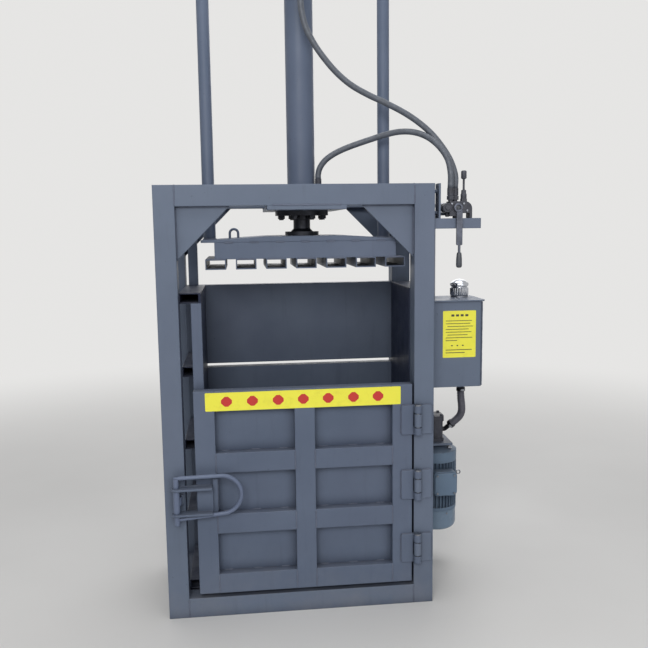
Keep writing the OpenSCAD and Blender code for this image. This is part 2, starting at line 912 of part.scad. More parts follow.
// Gear pump: spigot plate, body with round ends and a bolted cover
module pump_body() {
    plate = 14;
    cover = 24;
    color("gray")
        translate([motor_x, motor_y, pump_z])
            difference() {
                union() {
                    for (z = [[0, plate, 0], [plate, pump_h - cover, pump_step], [pump_h - cover, pump_h, 0]])
                        round_prism([-pump_w / 2 + z[2] / 2, -pump_d / 2 + z[2], z[0]],
                            [pump_w / 2 - z[2] / 2, pump_d / 2 - z[2], z[1]], 20);
                    for (x = [-20, 20], y = [-32, 32])
                        translate([x, y, pump_h]) cylinder(h = 7, d = 14, $fn = 6);
                }
                translate([0, 0, -cut]) cylinder(h = 40 + cut, d = shaft_d + 2 * fit);
            }
}

suction_start = [outlet_x, outlet_y, tank_z - 27];
pump_side = pump_w / 2 - pump_step / 2;
pump_port = [motor_x + pump_side, motor_y - 14, pump_z + 50];
pump_elbow = pump_port + [10, 0, 0];
suction_end = pump_elbow + [18, -15, 21];

// Stubs under the tank and beside the pump, with a clamp on each hose end
module suction_nozzles() {
    stub_d = suction_d - 12;
    n = len(suction_route);
    start_dir = unit(suction_route[1] - suction_route[0]);
    end_dir = unit(suction_route[n - 2] - suction_route[n - 1]);
    color(black) {
        rod_between([outlet_x, outlet_y, tank_z], suction_start, stub_d);
        translate([outlet_x, outlet_y, tank_z - 8]) cylinder(h = 8, d = suction_d + 8, $fn = 6);
        hose(rounded([pump_port, pump_elbow, suction_end], 4), stub_d);
        for (e = [[suction_start, start_dir], [suction_end, end_dir]])
            difference() {
                rod_between(e[0] + e[1] * 4, e[0] + e[1] * 18, suction_d + 5);
                rod_between(e[0] + e[1] * 3, e[0] + e[1] * 19, suction_d + 0.4);
            }
    }
}

module suction_hose() {
    color(black) hose(raised(suction_route, tank_z), suction_d);
}

module hose_upper() {
    color("gray") hose(raised(upper_route, frame_h), hose_d);
}

module hose_lower() {
    color("gray") hose(raised(lower_route, frame_h), hose_d);
}

// Pressure pipe from the pump to the valve and return pipe from the valve to the tank
module oil_pipes() {
    back = valve_y + 26;
    riser_x = half_w + 45;
    drop_x = half_w + 36;
    drop_y = tank_y + 45;
    pump_outlet = [motor_x - pump_side, motor_y, pump_z + 60];
    bend = 30;
    color(steel) {
        hose(rounded([pump_outlet, [riser_x, motor_y, pump_outlet.z], [riser_x, motor_y, valve_top - 12],
            [riser_x, back + 44, valve_top - 12], [valve_x - 18, back + 24, valve_top - 12],
            [valve_x - 18, back, valve_top - 12]], bend / 3), pipe_d);
        hose(rounded([[valve_x + 10, back, angle_z + 20], [valve_x + 10, back + 30, angle_z + 20],
            [drop_x, drop_y, angle_z + 20], [drop_x, drop_y, tank_top]], bend / 2), pipe_d);
    }
}

// Hinges

knuckle_gap = 0.5;
knuckle_h = (hinge_h - 2 * knuckle_gap) / 3;

module knuckle(low) {
    translate([hinge_x, hinge_y, low]) cylinder(h = knuckle_h, r = knuckle_r);
}

module pin_bore(z) {
    translate([hinge_x, hinge_y, z - hinge_h]) cylinder(h = 2 * hinge_h, d = hinge_pin_d + 2 * fit);
}

module column_hinge_leaves() {
    free = knuckle_r + 1.5;
    color(dark_paint)
        for (z = hinge_zs)
            difference() {
                union() {
                    block([hinge_x + free, front_y - leaf_t, z - hinge_h / 2],
                        [hinge_x + leaf_reach, front_y, z + hinge_h / 2]);
                    for (low = [z - hinge_h / 2, z + hinge_h / 2 - knuckle_h]) {
                        knuckle(low);
                        block([hinge_x, front_y - leaf_t, low], [hinge_x + free, front_y - 2, low + knuckle_h]);
                    }
                }
                pin_bore(z);
            }
}

module hinge_pins() {
    head = 5;
    color(steel)
        for (z = hinge_zs)
            translate([hinge_x, hinge_y, z - hinge_h / 2]) {
                cylinder(h = hinge_h + seat, d = hinge_pin_d);
                translate([0, 0, hinge_h + seat]) cylinder(h = head, d = hinge_pin_d + 8);
            }
}

module door_hinge_leaves() {
    free = knuckle_r + 1.5;
    color(dark_paint)
        for (z = hinge_zs)
            difference() {
                union() {
                    block([hinge_x - leaf_reach - 5, door_front - leaf_t, z - hinge_h / 2],
                        [hinge_x - free, door_front, z + hinge_h / 2]);
                    knuckle(z - knuckle_h / 2);
                    block([hinge_x - free, door_front - leaf_t, z - knuckle_h / 2],
                        [hinge_x, door_front - 1, z + knuckle_h / 2]);
                }
                pin_bore(z);
            }
}

// Door

module door_plate() {
    color(paint)
        block([door_left, door_bar_back, door_bottom], [door_right, door_back, door_top]);
}

stile_pitch = (door_w - door_bar) / door_cols;
rail_pitch = (door_h - door_bar) / door_rows;

module door_stiles() {
    color(paint)
        for (i = [0 : door_cols])
            tube_bar([door_left + i * stile_pitch, door_front, door_bottom],
                [door_left + i * stile_pitch + door_bar, door_bar_back, door_top], 2, door_bar_wall,
                0, door_bar_wall);
}

module door_rails() {
    color(paint)
        for (i = [0 : door_cols - 1], j = [0 : door_rows]) {
            x = door_left + i * stile_pitch + door_bar;
            z = door_bottom + j * rail_pitch;
            tube_bar([x, door_front, z], [x + stile_pitch - door_bar, door_bar_back, z + door_bar], 0,
                door_bar_wall);
        }
}

// Two hasp plates that reach over the column, tied by a block and a strip on the door's stile
module latch_hasp() {
    back = door_front - seat;
    depth = 54;
    color(dark_paint)
        difference() {
            union() {
                for (z = [hasp_low, hasp_high - hasp_t])
                    hull() {
                        block([door_left + 10, back - depth, z], [stile_right - 16, back, z + hasp_t]);
                        translate([pin_x, pin_y, z]) cylinder(h = hasp_t, r = latch_pin_d / 2 + 10, $fn = 32);
                    }
                block([door_left + 4, door_front - 22, hasp_low + hasp_t],
                    [stile_right - 14, door_front, hasp_high - hasp_t]);
                block([stile_right - 15, door_front - 12, hasp_low], [stile_right + 4, door_front, hasp_high + 22]);
            }
            translate([pin_x, pin_y, hasp_low - cut])
                cylinder(h = hasp_span + 2 * cut, d = latch_pin_d + 2 * fit);
        }
}

eye_h = 16;       // height of the handle's eyes on the pin
eye_low = latch_z - handle_span / 2 - eye_h / 2;

// The pin turns in the hasp plates and carries a sleeve with a short cam between them
module latch_pin() {
    between = hasp_span - 2 * hasp_t - 2 * seat;
    color(black)
        translate([pin_x, pin_y, 0]) {
            translate([0, 0, eye_low - 6]) cylinder(h = handle_span + eye_h + 12, d = latch_pin_d);
            translate([0, 0, hasp_low + hasp_t + seat]) cylinder(h = between, d = latch_pin_d + 4);
            translate([0, 0, latch_z - 16])
                linear_extrude(32) polygon([[0, 0], [9, 9], [16, 20], [20, 19], [17, 4], [9, -6]]);
        }
}

// Bent rod handle: two legs from the pin's ends and a half ring at the far end
module latch_handle() {
    arc_r = handle_span / 2;
    straight = handle_reach - arc_r - latch_pin_d / 2;
    tip = latch_pin_d / 2 + 4;
    color(dark_paint)
        translate([pin_x, pin_y, 0])
            difference() {
                union() {
                    for (z = [latch_z - arc_r, latch_z + arc_r])
                        translate([tip, 0, z]) rotate([0, 90, 0])
                            cylinder(h = latch_pin_d / 2 + straight - tip, d = handle_rod_d);
                    translate([latch_pin_d / 2 + straight, 0, latch_z])
                        rotate([90, 90, 0])
                            rotate_extrude(angle = 180) translate([arc_r, 0]) circle(d = handle_rod_d, $fn = 32);
                    for (z = [eye_low, eye_low + handle_span])
                        translate([0, 0, z]) cylinder(h = eye_h, r = latch_pin_d / 2 + 7);
                }
                translate([0, 0, eye_low - cut]) cylinder(h = handle_span + eye_h + 2 * cut, d = latch_pin_d);
            }
}

// Platen

bar_pitch = (platen_w - bar_w) / (bar_count - 1);

module platen_tubes() {
    color(paint)
        for (i = [0 : bar_count - 1]) {
            x = ram_x - platen_w / 2 + i * bar_pitch;
            tube_bar([x, platen_front, platen_z], [x + bar_w, platen_back, bar_top], 1, bar_wall);
        }
}

// A channel with its web towards the given side
module channel(y_web, toward) {
    low = ram_x - channel_l / 2;
    difference() {
        block([low, toward > 0 ? y_web : y_web - channel_w, bar_top],
            [low + channel_l, toward > 0 ? y_web + channel_w : y_web, channel_top]);
        block([low - cut, toward > 0 ? y_web + channel_t : y_web - channel_w - cut, bar_top + channel_t],
            [low + channel_l + cut, toward > 0 ? y_web + channel_w + cut : y_web - channel_t,
                channel_top - channel_t]);
    }
}

module platen_beams() {
    web = 12;
    color(paint) {
        channel(platen_front, 1);
        channel(platen_back, -1);
        for (x = [ram_x - hat_flat / 2 + 20, ram_x + hat_flat / 2 - 20 - web])
            block([x, platen_front + channel_w, bar_top], [x + web, platen_back - channel_w, channel_top + hat_rise]);
    }
}

// Folded top plate with the lifting eye welded on its left slope
module platen_plate() {
    half = channel_l / 2;
    flat = hat_flat / 2;
    eye_x = -channel_l / 2 + 76;
    eye_r = 17;
    eye_leg = 24;
    eye_base = channel_top + hat_t;
    eye_d = 10;
    notch = guide / 2 + seat;
    color(paint) {
        difference() {
            translate([ram_x, platen_back, channel_top])
                rotate([90, 0, 0])
                    linear_extrude(platen_back - platen_front)
                        polygon([[-half, 0], [-flat, hat_rise], [flat, hat_rise], [half, 0], [half, hat_t],
                            [flat, hat_t + hat_rise], [-flat, hat_t + hat_rise], [-half, hat_t]]);
            for (x = [ram_x - guide_left, ram_x + guide_right])
                block([x - notch, mid_y - notch, channel_top - cut], [x + notch, mid_y + notch, hat_top + cut]);
        }
        translate([ram_x + eye_x, mid_y - 40, eye_base]) {
            for (side = [-1, 1])
                translate([side * eye_r, 0, 0]) cylinder(h = eye_leg, d = eye_d);
            translate([0, 0, eye_leg])
                rotate([90, 0, 0])
                    rotate_extrude(angle = 180) translate([eye_r, 0]) circle(d = eye_d, $fn = 32);
        }
    }
}

module guide_posts() {
    wall = 4;
    color(paint)
        for (x = [ram_x - guide_left, ram_x + guide_right])
            tube_bar([x - guide / 2, mid_y - guide / 2, bar_top], [x + guide / 2, mid_y + guide / 2, guide_top],
                2, wall, 0, wall);
}

module piston_rod() {
    color(steel)
        translate([ram_x, mid_y, 0]) {
            translate([0, 0, hat_top]) cylinder(h = rod_foot_t, d = rod_foot_d);
            translate([0, 0, rod_start]) cylinder(h = 12, d1 = rod_d + 24, d2 = rod_d);
            translate([0, 0, rod_start]) cylinder(h = piston_low - rod_start, d = rod_d);
        }
}

module piston() {
    color(black)
        translate([ram_x, mid_y, piston_low])
            cylinder(h = piston_l, d = bore_d - 2 * fit);
}

front_columns();
rear_columns();
top_beams();
base_beams();
side_rails();
corner_gussets();
chamber_floor();
left_wall();
right_wall();
left_wall_ribs();
right_wall_ribs();
wall_posts();
back_wall();
back_wall_bars();
cylinder_plate();
guide_sleeves();
cylinder_tube();
cylinder_flange();
rod_gland();
cylinder_cap();
flange_bolts();
hose_fittings();
valve_bracket();
valve_body();
relief_valve();
valve_lever();
lever_grip();
hydraulic_tank();
tank_brackets();
filler_neck();
breather_cap();
motor_bracket();
motor_housing();
motor_stator();
motor_end_shields();
terminal_box();
fan_cowl();
motor_shaft();
cooling_fan();
pump_body();
suction_nozzles();
suction_hose();
hose_upper();
hose_lower();
oil_pipes();
column_hinge_leaves();
hinge_pins();
door_plate();
door_stiles();
door_rails();
door_hinge_leaves();
latch_hasp();
latch_pin();
latch_handle();
platen_tubes();
platen_beams();
platen_plate();
guide_posts();
piston_rod();
piston();
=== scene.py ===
"""Looks for the vertical recycling baler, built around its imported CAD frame. Lengths are in metres."""
import json
import math
import random

import bpy
import numpy as np
from mathutils import Matrix, Vector


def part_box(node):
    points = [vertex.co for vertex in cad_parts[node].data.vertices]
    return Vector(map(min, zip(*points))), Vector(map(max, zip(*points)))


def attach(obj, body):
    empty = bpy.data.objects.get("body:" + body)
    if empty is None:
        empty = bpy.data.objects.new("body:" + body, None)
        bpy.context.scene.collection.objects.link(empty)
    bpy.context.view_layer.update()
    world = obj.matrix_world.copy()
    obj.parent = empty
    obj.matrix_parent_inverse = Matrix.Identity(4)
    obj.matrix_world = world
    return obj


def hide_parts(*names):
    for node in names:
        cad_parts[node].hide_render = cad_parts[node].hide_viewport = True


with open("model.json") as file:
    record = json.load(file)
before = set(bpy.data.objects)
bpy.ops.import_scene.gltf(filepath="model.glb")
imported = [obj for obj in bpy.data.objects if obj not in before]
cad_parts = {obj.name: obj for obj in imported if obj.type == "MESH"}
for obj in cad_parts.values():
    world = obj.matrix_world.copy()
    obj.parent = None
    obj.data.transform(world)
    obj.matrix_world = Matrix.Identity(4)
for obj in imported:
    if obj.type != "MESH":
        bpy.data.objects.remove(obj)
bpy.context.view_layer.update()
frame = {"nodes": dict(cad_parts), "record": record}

nodes = frame["nodes"]
random.seed(7)

# The picture is 648 pixels square
IMAGE = 648
FOCAL_PX = 750.0
SENSOR_MM = 36.0
CAMERA_PLACE = (-0.2215, -2.9298, 1.5631)
CAMERA_PITCH = 0.13092
CAMERA_YAW = 0.11050
CAMERA_ROLL = -0.01273

# Driving sizes of the machine, as in the CAD source
FRAME_H = 1.720
FRAME_W = 1.080
BEAM = 0.080
HALF_W = FRAME_W / 2
COLUMN_IN = HALF_W - BEAM
FRONT = -BEAM / 2
REAR = 0.480
DOOR_FRONT = -0.042
DOOR_COLUMNS = 2
DOOR_ROWS = 3

# Hinges, with their knuckles as in the photograph
HINGE_H = 0.120
PIN_X = 0.4715
PIN_Y = -0.060
KNUCKLE_R = 0.0150
LEAF_T = 0.008
DOOR_KNUCKLES = ((0, 0.25), (0.75, 1))    # shares of a hinge's height
COLUMN_KNUCKLES = ((0.28, 0.72),)

# Platen and guide posts
RAM_X = 0.040
MID_Y = 0.220
PLATEN_TUBES = 7
POST_X = (-0.342, 0.386)
POST_D = 0.050
PLATE_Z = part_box("platen_plate")[0][2]
HAT_T = 0.010
HAT_RISE = 0.012
HAT_FLAT = 0.150

# Power unit
TANK_Z = 0.885
TANK_FRONT = 0.070
TANK_X = (0.548, 0.775)
ANGLE_Z = FRAME_H - 0.136    # top of the angle that carries the valve
VALVE_X = 0.634
VALVE_Y = -0.004
VALVE_D = 0.052
VALVE_FRONT = VALVE_Y - VALVE_D / 2
VALVE_TOP = ANGLE_Z + 0.066
PIVOT_Z = ANGLE_Z + 0.041
ARM_X = VALVE_X + 0.005
ARM_Y = VALVE_FRONT - 0.0085
MOTOR_X = 0.640
MOTOR_Y = 0.310
EYE_AT = (0.7465, 0.300, 0.436)

# Weld beads: radius by the size of the joint, how far they lie under or over a face, pitch of the ripples
BEAD = 0.0036
SMALL_BEAD = 0.0034
THIN_BEAD = 0.003
TANK_BEAD = 0.0022
SINK = 0.0014
OUTER_SINK = BEAD + 0.0006
PROUD = 0.001
RIPPLE = 0.0046
TACKS = (0.12, 0.5, 0.86)    # shares of a door panel's width
GUSSET_IN = 0.006            # how far behind a gusset's outer face its second bead lies

# Labels
STRIP_LOW = (-0.371, 0.8485)
STRIP_HIGH = (0.404, 0.9215)
MARK_X = (-0.288, -0.187, -0.086, 0.013, 0.112, 0.213, 0.312)
MARK_W = 0.056
MARK_H = 0.052
LABEL_LOW = (0.606, 1.010)
LABEL_HIGH = (0.746, 1.206)
FILM_T = 0.0003

# Surfaces
SHARP = math.radians(35)    # edges that turn more than this are not smoothed
CORNER = 0.0055             # outer corner radius of the frame's tubes, given by shading
DUST = "#7f828b"
# colour of the painted shade in corners, recesses and between parts
PAINTED_SHADE = "#1d2130"

# Stage
PALE = (0.79, 0.785, 0.775)
FLOOR_HALF = 40.0
FADE_FROM = 1.6
FADE_TO = 6.0


def srgb(hex_colour):
    """A linear colour from a hexadecimal sRGB colour."""
    parts = [int(hex_colour[i : i + 2], 16) / 255 for i in (1, 3, 5)]
    return tuple(c / 12.92 if c <= 0.04045 else ((c + 0.055) / 1.055) ** 2.4 for c in parts)


# Camera


def make_camera():
    forward = Vector((
        math.sin(CAMERA_YAW) * math.cos(CAMERA_PITCH),
        math.cos(CAMERA_YAW) * math.cos(CAMERA_PITCH),
        -math.sin(CAMERA_PITCH),
    ))
    level = Vector((math.cos(CAMERA_YAW), -math.sin(CAMERA_YAW), 0))
    upright = level.cross(forward)
    right = level * math.cos(CAMERA_ROLL) + upright * math.sin(CAMERA_ROLL)
    up = upright * math.cos(CAMERA_ROLL) - level * math.sin(CAMERA_ROLL)
    data = bpy.data.cameras.new("camera")
    data.sensor_width = SENSOR_MM
    data.lens = SENSOR_MM * FOCAL_PX / IMAGE
    data.clip_start = 0.05
    data.clip_end = 200
    camera = bpy.data.objects.new("camera", data)
    bpy.context.scene.collection.objects.link(camera)
    rows = Matrix((right, up, -forward)).transposed()
    camera.matrix_world = Matrix.Translation(CAMERA_PLACE) @ rows.to_4x4()
    bpy.context.scene.camera = camera


# Meshes


def new_piece(name, verts, faces, smooth=True):
    mesh = bpy.data.meshes.new(name)
    mesh.from_pydata([tuple(v) for v in verts], [], faces)
    mesh.update()
    if smooth:
        mesh.polygons.foreach_set("use_smooth", [True] * len(mesh.polygons))
    piece = bpy.data.objects.new(name, mesh)
    bpy.context.scene.collection.objects.link(piece)
    return piece


def smooth_route(points, step):
    """A smooth line through the points, with samples a step apart."""
    p = [np.array(q, float) for q in points]
    p = [2 * p[0] - p[1], *p, 2 * p[-1] - p[-2]]
    line = []
    for a, b, c, d in zip(p, p[1:], p[2:], p[3:]):
        count = max(2, int(np.linalg.norm(c - b) / step))
        for i in range(count):
            t = i / count
            line.append(0.5 * (2 * b + (c - a) * t + (2 * a - 5 * b + 4 * c - d) * t * t
                               + (3 * b - a - 3 * c + d) * t ** 3))
    line.append(p[-2])
    return line


def tube_mesh(line, radius, sides):
    """Points and faces of a closed tube along a line. radius is a number or a function of the distance."""
    line = [np.array(q, float) for q in line]
    size = radius if callable(radius) else (lambda s: radius)
    verts, faces = [], []
    along = 0.0
    side = None
    last = len(line) - 1
    for i, q in enumerate(line):
        tangent = line[min(i + 1, last)] - line[max(i - 1, 0)]
        tangent /= np.linalg.norm(tangent)
        if side is None:
            helper = np.array((0.0, 0.0, 1.0)) if abs(tangent[2]) < 0.9 else np.array((0.0, 1.0, 0.0))
            side = np.cross(tangent, helper)
        side = side - tangent * side.dot(tangent)
        side /= np.linalg.norm(side)
        other = np.cross(tangent, side)
        if i:
            along += np.linalg.norm(q - line[i - 1])
        r = size(along)
        for k in range(sides):
            a = 2 * math.pi * k / sides
            verts.append(q + r * (math.cos(a) * side + math.sin(a) * other))
    for i in range(last):
        for k in range(sides):
            n = (k + 1) % sides
            a, b = i * sides, (i + 1) * sides
            faces.append((a + k, a + n, b + n, b + k))
    faces.append(tuple(range(sides - 1, -1, -1)))
    faces.append(tuple(last * sides + k for k in range(sides)))
    return verts, faces


def joined(name, parts, smooth=True):
    """One piece from several (points, faces) pairs."""
    verts, faces = [], []
    for part_verts, part_faces in parts:
        start = len(verts)
        verts.extend(part_verts)
        faces.extend(tuple(start + i for i in face) for face in part_faces)
    return new_piece(name, verts, faces, smooth)


def turned(place, axis, rings):
    """Points and faces of rings stacked along an axis, each with a height, radius and corners (0: round)."""
    axis = Vector(axis).normalized()
    side = axis.orthogonal().normalized()
    other = axis.cross(side)
    sides = 24
    verts, faces = [], []
    for height, radius, corners in rings:
        for k in range(sides):
            a = 2 * math.pi * k / sides
            r = radius
            if corners:
                half = math.pi / corners
                r = radius * math.cos(half) / math.cos((a % (2 * half)) - half)
            verts.append(Vector(place) + axis * height + (side * math.cos(a) + other * math.sin(a)) * r)
    for i in range(len(rings) - 1):
        for k in range(sides):
            n = (k + 1) % sides
            a, b = i * sides, (i + 1) * sides
            faces.append((a + k, a + n, b + n, b + k))
    last = (len(rings) - 1) * sides
    faces.append(tuple(range(sides - 1, -1, -1)))
    faces.append(tuple(last + k for k in range(sides)))
    return verts, faces


def slab(outline, low_y, high_y):
    """Points and faces of an outline in the front view, drawn out along the depth."""
    count = len(outline)
    verts = [(x, low_y, z) for x, z in outline] + [(x, high_y, z) for x, z in outline]
    faces = [tuple(range(count)), tuple(range(2 * count - 1, count - 1, -1))]
    faces += [(k, count + k, count + (k + 1) % count, (k + 1) % count) for k in range(count)]
    return verts, faces


def arc(x, z, r, start, end, count=10):
    """Points of an arc in the front view, with its angles in degrees."""
    angles = [math.radians(start + (end - start) * i / count) for i in range(count + 1)]
    return [(x + r * math.cos(a), z + r * math.sin(a)) for a in angles]


def rounded_box(low_x, low_z, high_x, high_z, r, count=10):
    """An outline with four round corners in the front view."""
    return (arc(high_x - r, high_z - r, r, 0, 90, count)
            + arc(low_x + r, high_z - r, r, 90, 180, count)
            + arc(low_x + r, low_z + r, r, 180, 270, count)
            + arc(high_x - r, low_z + r, r, 270, 360, count))


def route_length(line):
    return sum(float(np.linalg.norm(b - a)) for a, b in zip(line, line[1:]))


def metres(points, lift):
    return [(x / 1000, y / 1000, z / 1000 + lift) for x, y, z in points]


# Hoses: the routes are those of the CAD source, in its millimetres

UPPER_ROUTE = [
    (40, 118, 788), (40, 118, 740), (43, 118, 680), (58, 117, 615), (91, 115, 550),
    (130, 113, 495), (178, 109, 440), (234, 102, 392), (300, 95, 354), (368, 88, 322),
    (434, 80, 288), (492, 71, 250), (545, 58, 203), (588, 43, 148), (619, 25, 90),
    (634, 10, 32), (634, 10, -18)]
LOWER_ROUTE = [
    (108, 188, 32), (108, 188, 50), (116, 186, 78), (137, 183, 106),
    (170, 178, 130), (212, 170, 150), (262, 158, 168), (320, 142, 186), (376, 122, 202),
    (432, 98, 211), (487, 72, 205), (535, 43, 181), (573, 14, 141), (599, -8, 92),
    (608, -18, 36), (608, -18, -18)]
SUCTION_ROUTE = [
    (722, 195, -27), (722, 195, -53), (725, 199, -83), (731, 208, -115),
    (735, 222, -144), (733, 242, -170), (721, 261, -193), (697, 281, -221)]
HOSE_D = 0.024
HOSE_STEP = 0.012    # distance between a hose's rings of points
SUCTION_D = 0.033
RIB_PITCH = 0.0075
RIB_DEPTH = 0.0026
SUCTION_MID_D = SUCTION_D - RIB_DEPTH


def rib(s):
    """Radius of the ribbed suction hose at a distance along it."""
    return SUCTION_MID_D / 2 + RIB_DEPTH / 2 * math.sin(2 * math.pi * s / RIB_PITCH)


def make_hoses():
    made = {}
    for name, node, route, lift, radius, wide, step in (
        ("cylinder_hose_upper", "hose_upper", UPPER_ROUTE, FRAME_H, HOSE_D / 2, HOSE_D, HOSE_STEP),
        ("cylinder_hose_lower", "hose_lower", LOWER_ROUTE, FRAME_H, HOSE_D / 2, HOSE_D, HOSE_STEP),
        ("ribbed_suction_hose", "suction_hose", SUCTION_ROUTE, TANK_Z, rib, SUCTION_D, RIB_PITCH / 6),
    ):
        line = smooth_route(metres(route, lift), step)
        hose = new_piece(name, *tube_mesh(line, radius, 24))
        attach(hose, "frame")
        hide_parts(node)
        path = line[:: max(1, len(line) // 200)]
        if path[-1] is not line[-1]:
            path.append(line[-1])
        made[name] = hose
    return made


# Details that the CAD source leaves out: weld beads, screws, labels, the motor's lifting eye


def bead(start, end, radius=BEAD):
    """A weld bead between two points: overlapping ripples with uneven width."""
    start, end = Vector(start), Vector(end)
    length = (end - start).length
    count = max(6, int(length / (RIPPLE / 3)))
    phase = random.uniform(0, 6.28)
    line = [start.lerp(end, i / count) for i in range(count + 1)]

    def size(s):
        close = min(s, length - s)
        taper = min(1.0, 0.55 + close / 0.006)
        wander = 1 + 0.10 * math.sin(s * 90 + phase) + 0.07 * math.sin(s * 233 + 2 * phase)
        return radius * taper * wander * (0.90 + 0.10 * abs(math.sin(math.pi * s / RIPPLE)))

    return tube_mesh(line, size, 8)


def bead_x(low, high, y, z, radius=BEAD):
    return bead((low, y, z), (high, y, z), radius)


def bead_y(x, low, high, z, radius=BEAD):
    return bead((x, low, z), (x, high, z), radius)


def bead_z(x, y, low, high, radius=BEAD):
    return bead((x, y, low), (x, y, high), radius)


def frame_beads():
    beads = []
    gusset_low, gusset_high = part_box("corner_gussets")
    gusset_top = FRAME_H - BEAM
    leg = gusset_top - gusset_low[2]
    gusset_seams = (gusset_low[1] - PROUD, gusset_low[1] + GUSSET_IN + PROUD,
                    gusset_high[1] - GUSSET_IN - PROUD, gusset_high[1] + PROUD)
    for side in (-1, 1):
        inner = side * COLUMN_IN
        for y in (FRONT + SINK, REAR - OUTER_SINK):
            for low, high in ((0.003, BEAM - 0.004), (gusset_top + 0.004, FRAME_H - 0.003)):
                beads.append(bead_z(inner, y, low, high))
        for y in (FRONT, REAR - BEAM):
            for z in (BEAM + SINK, FRAME_H - SINK):
                beads.append(bead_y(inner, y + 0.01, y + BEAM - 0.01, z))
        for z in (0.0, gusset_top):
            for x in (side * (HALF_W - OUTER_SINK), side * (COLUMN_IN + SINK)):
                for y in (FRONT + BEAM, REAR - BEAM):
                    beads.append(bead_z(x, y, z + 0.008, z + BEAM - 0.008))
        for y in gusset_seams:
            beads.append(bead_z(side * (COLUMN_IN - PROUD), y,
                                gusset_low[2] + 0.01, gusset_top - 0.01, SMALL_BEAD))
            beads.append(bead_x(side * (COLUMN_IN - leg + 0.01), side * (COLUMN_IN - 0.01), y,
                                gusset_top - PROUD, SMALL_BEAD))
    low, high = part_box("cylinder_plate")
    for x in (low[0] + PROUD, high[0] - PROUD):
        beads.append(bead_y(x, low[1] + 0.02, low[1] + 0.06, high[2] - PROUD))
        beads.append(bead_y(x, high[1] - 0.06, high[1] - 0.02, high[2] - PROUD))
    beads.append(bead_x(low[0] + 0.02, high[0] - 0.02, low[1] + PROUD, high[2] + 2 * PROUD))
    for low, high in hinge_leaves("column_hinge_leaves"):
        beads.append(bead_z(high[0], FRONT - PROUD, low[2] + 0.004, high[2] - 0.004))
        for z in (low[2], high[2]):
            beads.append(bead_x(high[0] - 0.034, high[0] - 0.002, FRONT - PROUD, z, THIN_BEAD))
    x = HALF_W + PROUD
    low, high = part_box("valve_bracket")
    for z in (ANGLE_Z - 0.001, ANGLE_Z - 0.039):
        beads.append(bead_y(x, low[1] + 0.004, high[1] - 0.006, z, THIN_BEAD))
    low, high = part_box("tank_brackets")
    for y in (low[1], high[1]):
        beads.append(bead_z(x, y, low[2] + 0.01, high[2] - 0.01, THIN_BEAD))
    low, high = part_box("motor_bracket")
    for y in (low[1], high[1]):
        beads.append(bead_z(x, y, low[2] + 0.012, high[2] - 0.008, SMALL_BEAD))
    low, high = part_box("hydraulic_tank")
    for x in (TANK_X[0] + 0.0015, TANK_X[1] - 0.0015):
        beads.append(bead_z(x, TANK_FRONT + 0.0015, low[2] + 0.004, high[2] - 0.008, TANK_BEAD))
    return beads


def hinge_leaves(node):
    """The lowest and highest corners of each of a node's three hinge leaves."""
    low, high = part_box(node)
    half = HINGE_H / 2
    middle = (low[2] + high[2]) / 2
    return [((low[0], low[1], z - half), (high[0], high[1], z + half))
            for z in (low[2] + half, middle, high[2] - half)]


def door_beads():
    low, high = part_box("door_stiles")
    pitch = (high[0] - low[0] - BEAM) / DOOR_COLUMNS
    rise = (high[2] - low[2] - BEAM) / DOOR_ROWS
    y = DOOR_FRONT + SINK
    beads = []
    for column in range(DOOR_COLUMNS):
        left = low[0] + column * pitch + BEAM
        right = left + pitch - BEAM
        for row in range(DOOR_ROWS + 1):
            z = low[2] + row * rise
            under_strip = row == DOOR_ROWS
            for x in () if under_strip else (left, right):
                beads.append(bead_z(x, y, z + 0.003, z + BEAM - 0.003))
            for x in (left, right):
                for edge in (z, z + BEAM):
                    if low[2] < edge < high[2] - 0.001:
                        beads.append(bead_y(x, y + 0.006, DOOR_FRONT + 0.036, edge, SMALL_BEAD))
        for row in range(DOOR_ROWS):
            z = low[2] + row * rise + BEAM
            for share in TACKS:
                x = left + share * (right - left)
                beads.append(bead_x(x - 0.018, x + 0.018, DOOR_FRONT + 0.039, z, THIN_BEAD))
    for low, high in hinge_leaves("door_hinge_leaves"):
        beads.append(bead_z(low[0], DOOR_FRONT - PROUD, low[2] + 0.004, high[2] - 0.004))
        for z in (low[2], high[2]):
            beads.append(bead_x(low[0] + 0.002, low[0] + 0.052, DOOR_FRONT - PROUD, z, THIN_BEAD))
    low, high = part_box("latch_hasp")
    beads.append(bead_z(high[0], DOOR_FRONT - PROUD / 2, low[2] + 0.004, high[2] - 0.004, THIN_BEAD))
    for z in (0.4555, 0.5465):
        beads.append(bead_x(-0.400, -0.355, DOOR_FRONT - PROUD, z, 0.0032))
    return beads


def platen_beads():
    low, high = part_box("platen_tubes")
    pitch = (high[0] - low[0] - BEAM) / (PLATEN_TUBES - 1)
    beads = []
    for i in range(PLATEN_TUBES):
        x = low[0] + i * pitch
        beads.append(bead_x(x + 0.010, x + BEAM - 0.010, low[1] + PROUD, high[2], SMALL_BEAD))
    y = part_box("platen_plate")[0][1] - PROUD / 2
    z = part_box("platen_beams")[1][2] - 0.012
    for x in (-0.28, -0.18, -0.08, 0.02, 0.12, 0.22, 0.32):
        beads.append(bead_x(x, x + 0.035, y, z, THIN_BEAD))
    r = POST_D / 2 + PROUD
    for x in POST_X:
        ring = [(x + r * math.cos(a), MID_Y + r * math.sin(a), PLATE_Z + HAT_T + PROUD)
                for a in (2 * math.pi * i / 60 for i in range(61))]
        beads.append(tube_mesh(
            ring, lambda s: SMALL_BEAD * (0.9 + 0.1 * abs(math.sin(math.pi * s / RIPPLE))), 8))
    return beads


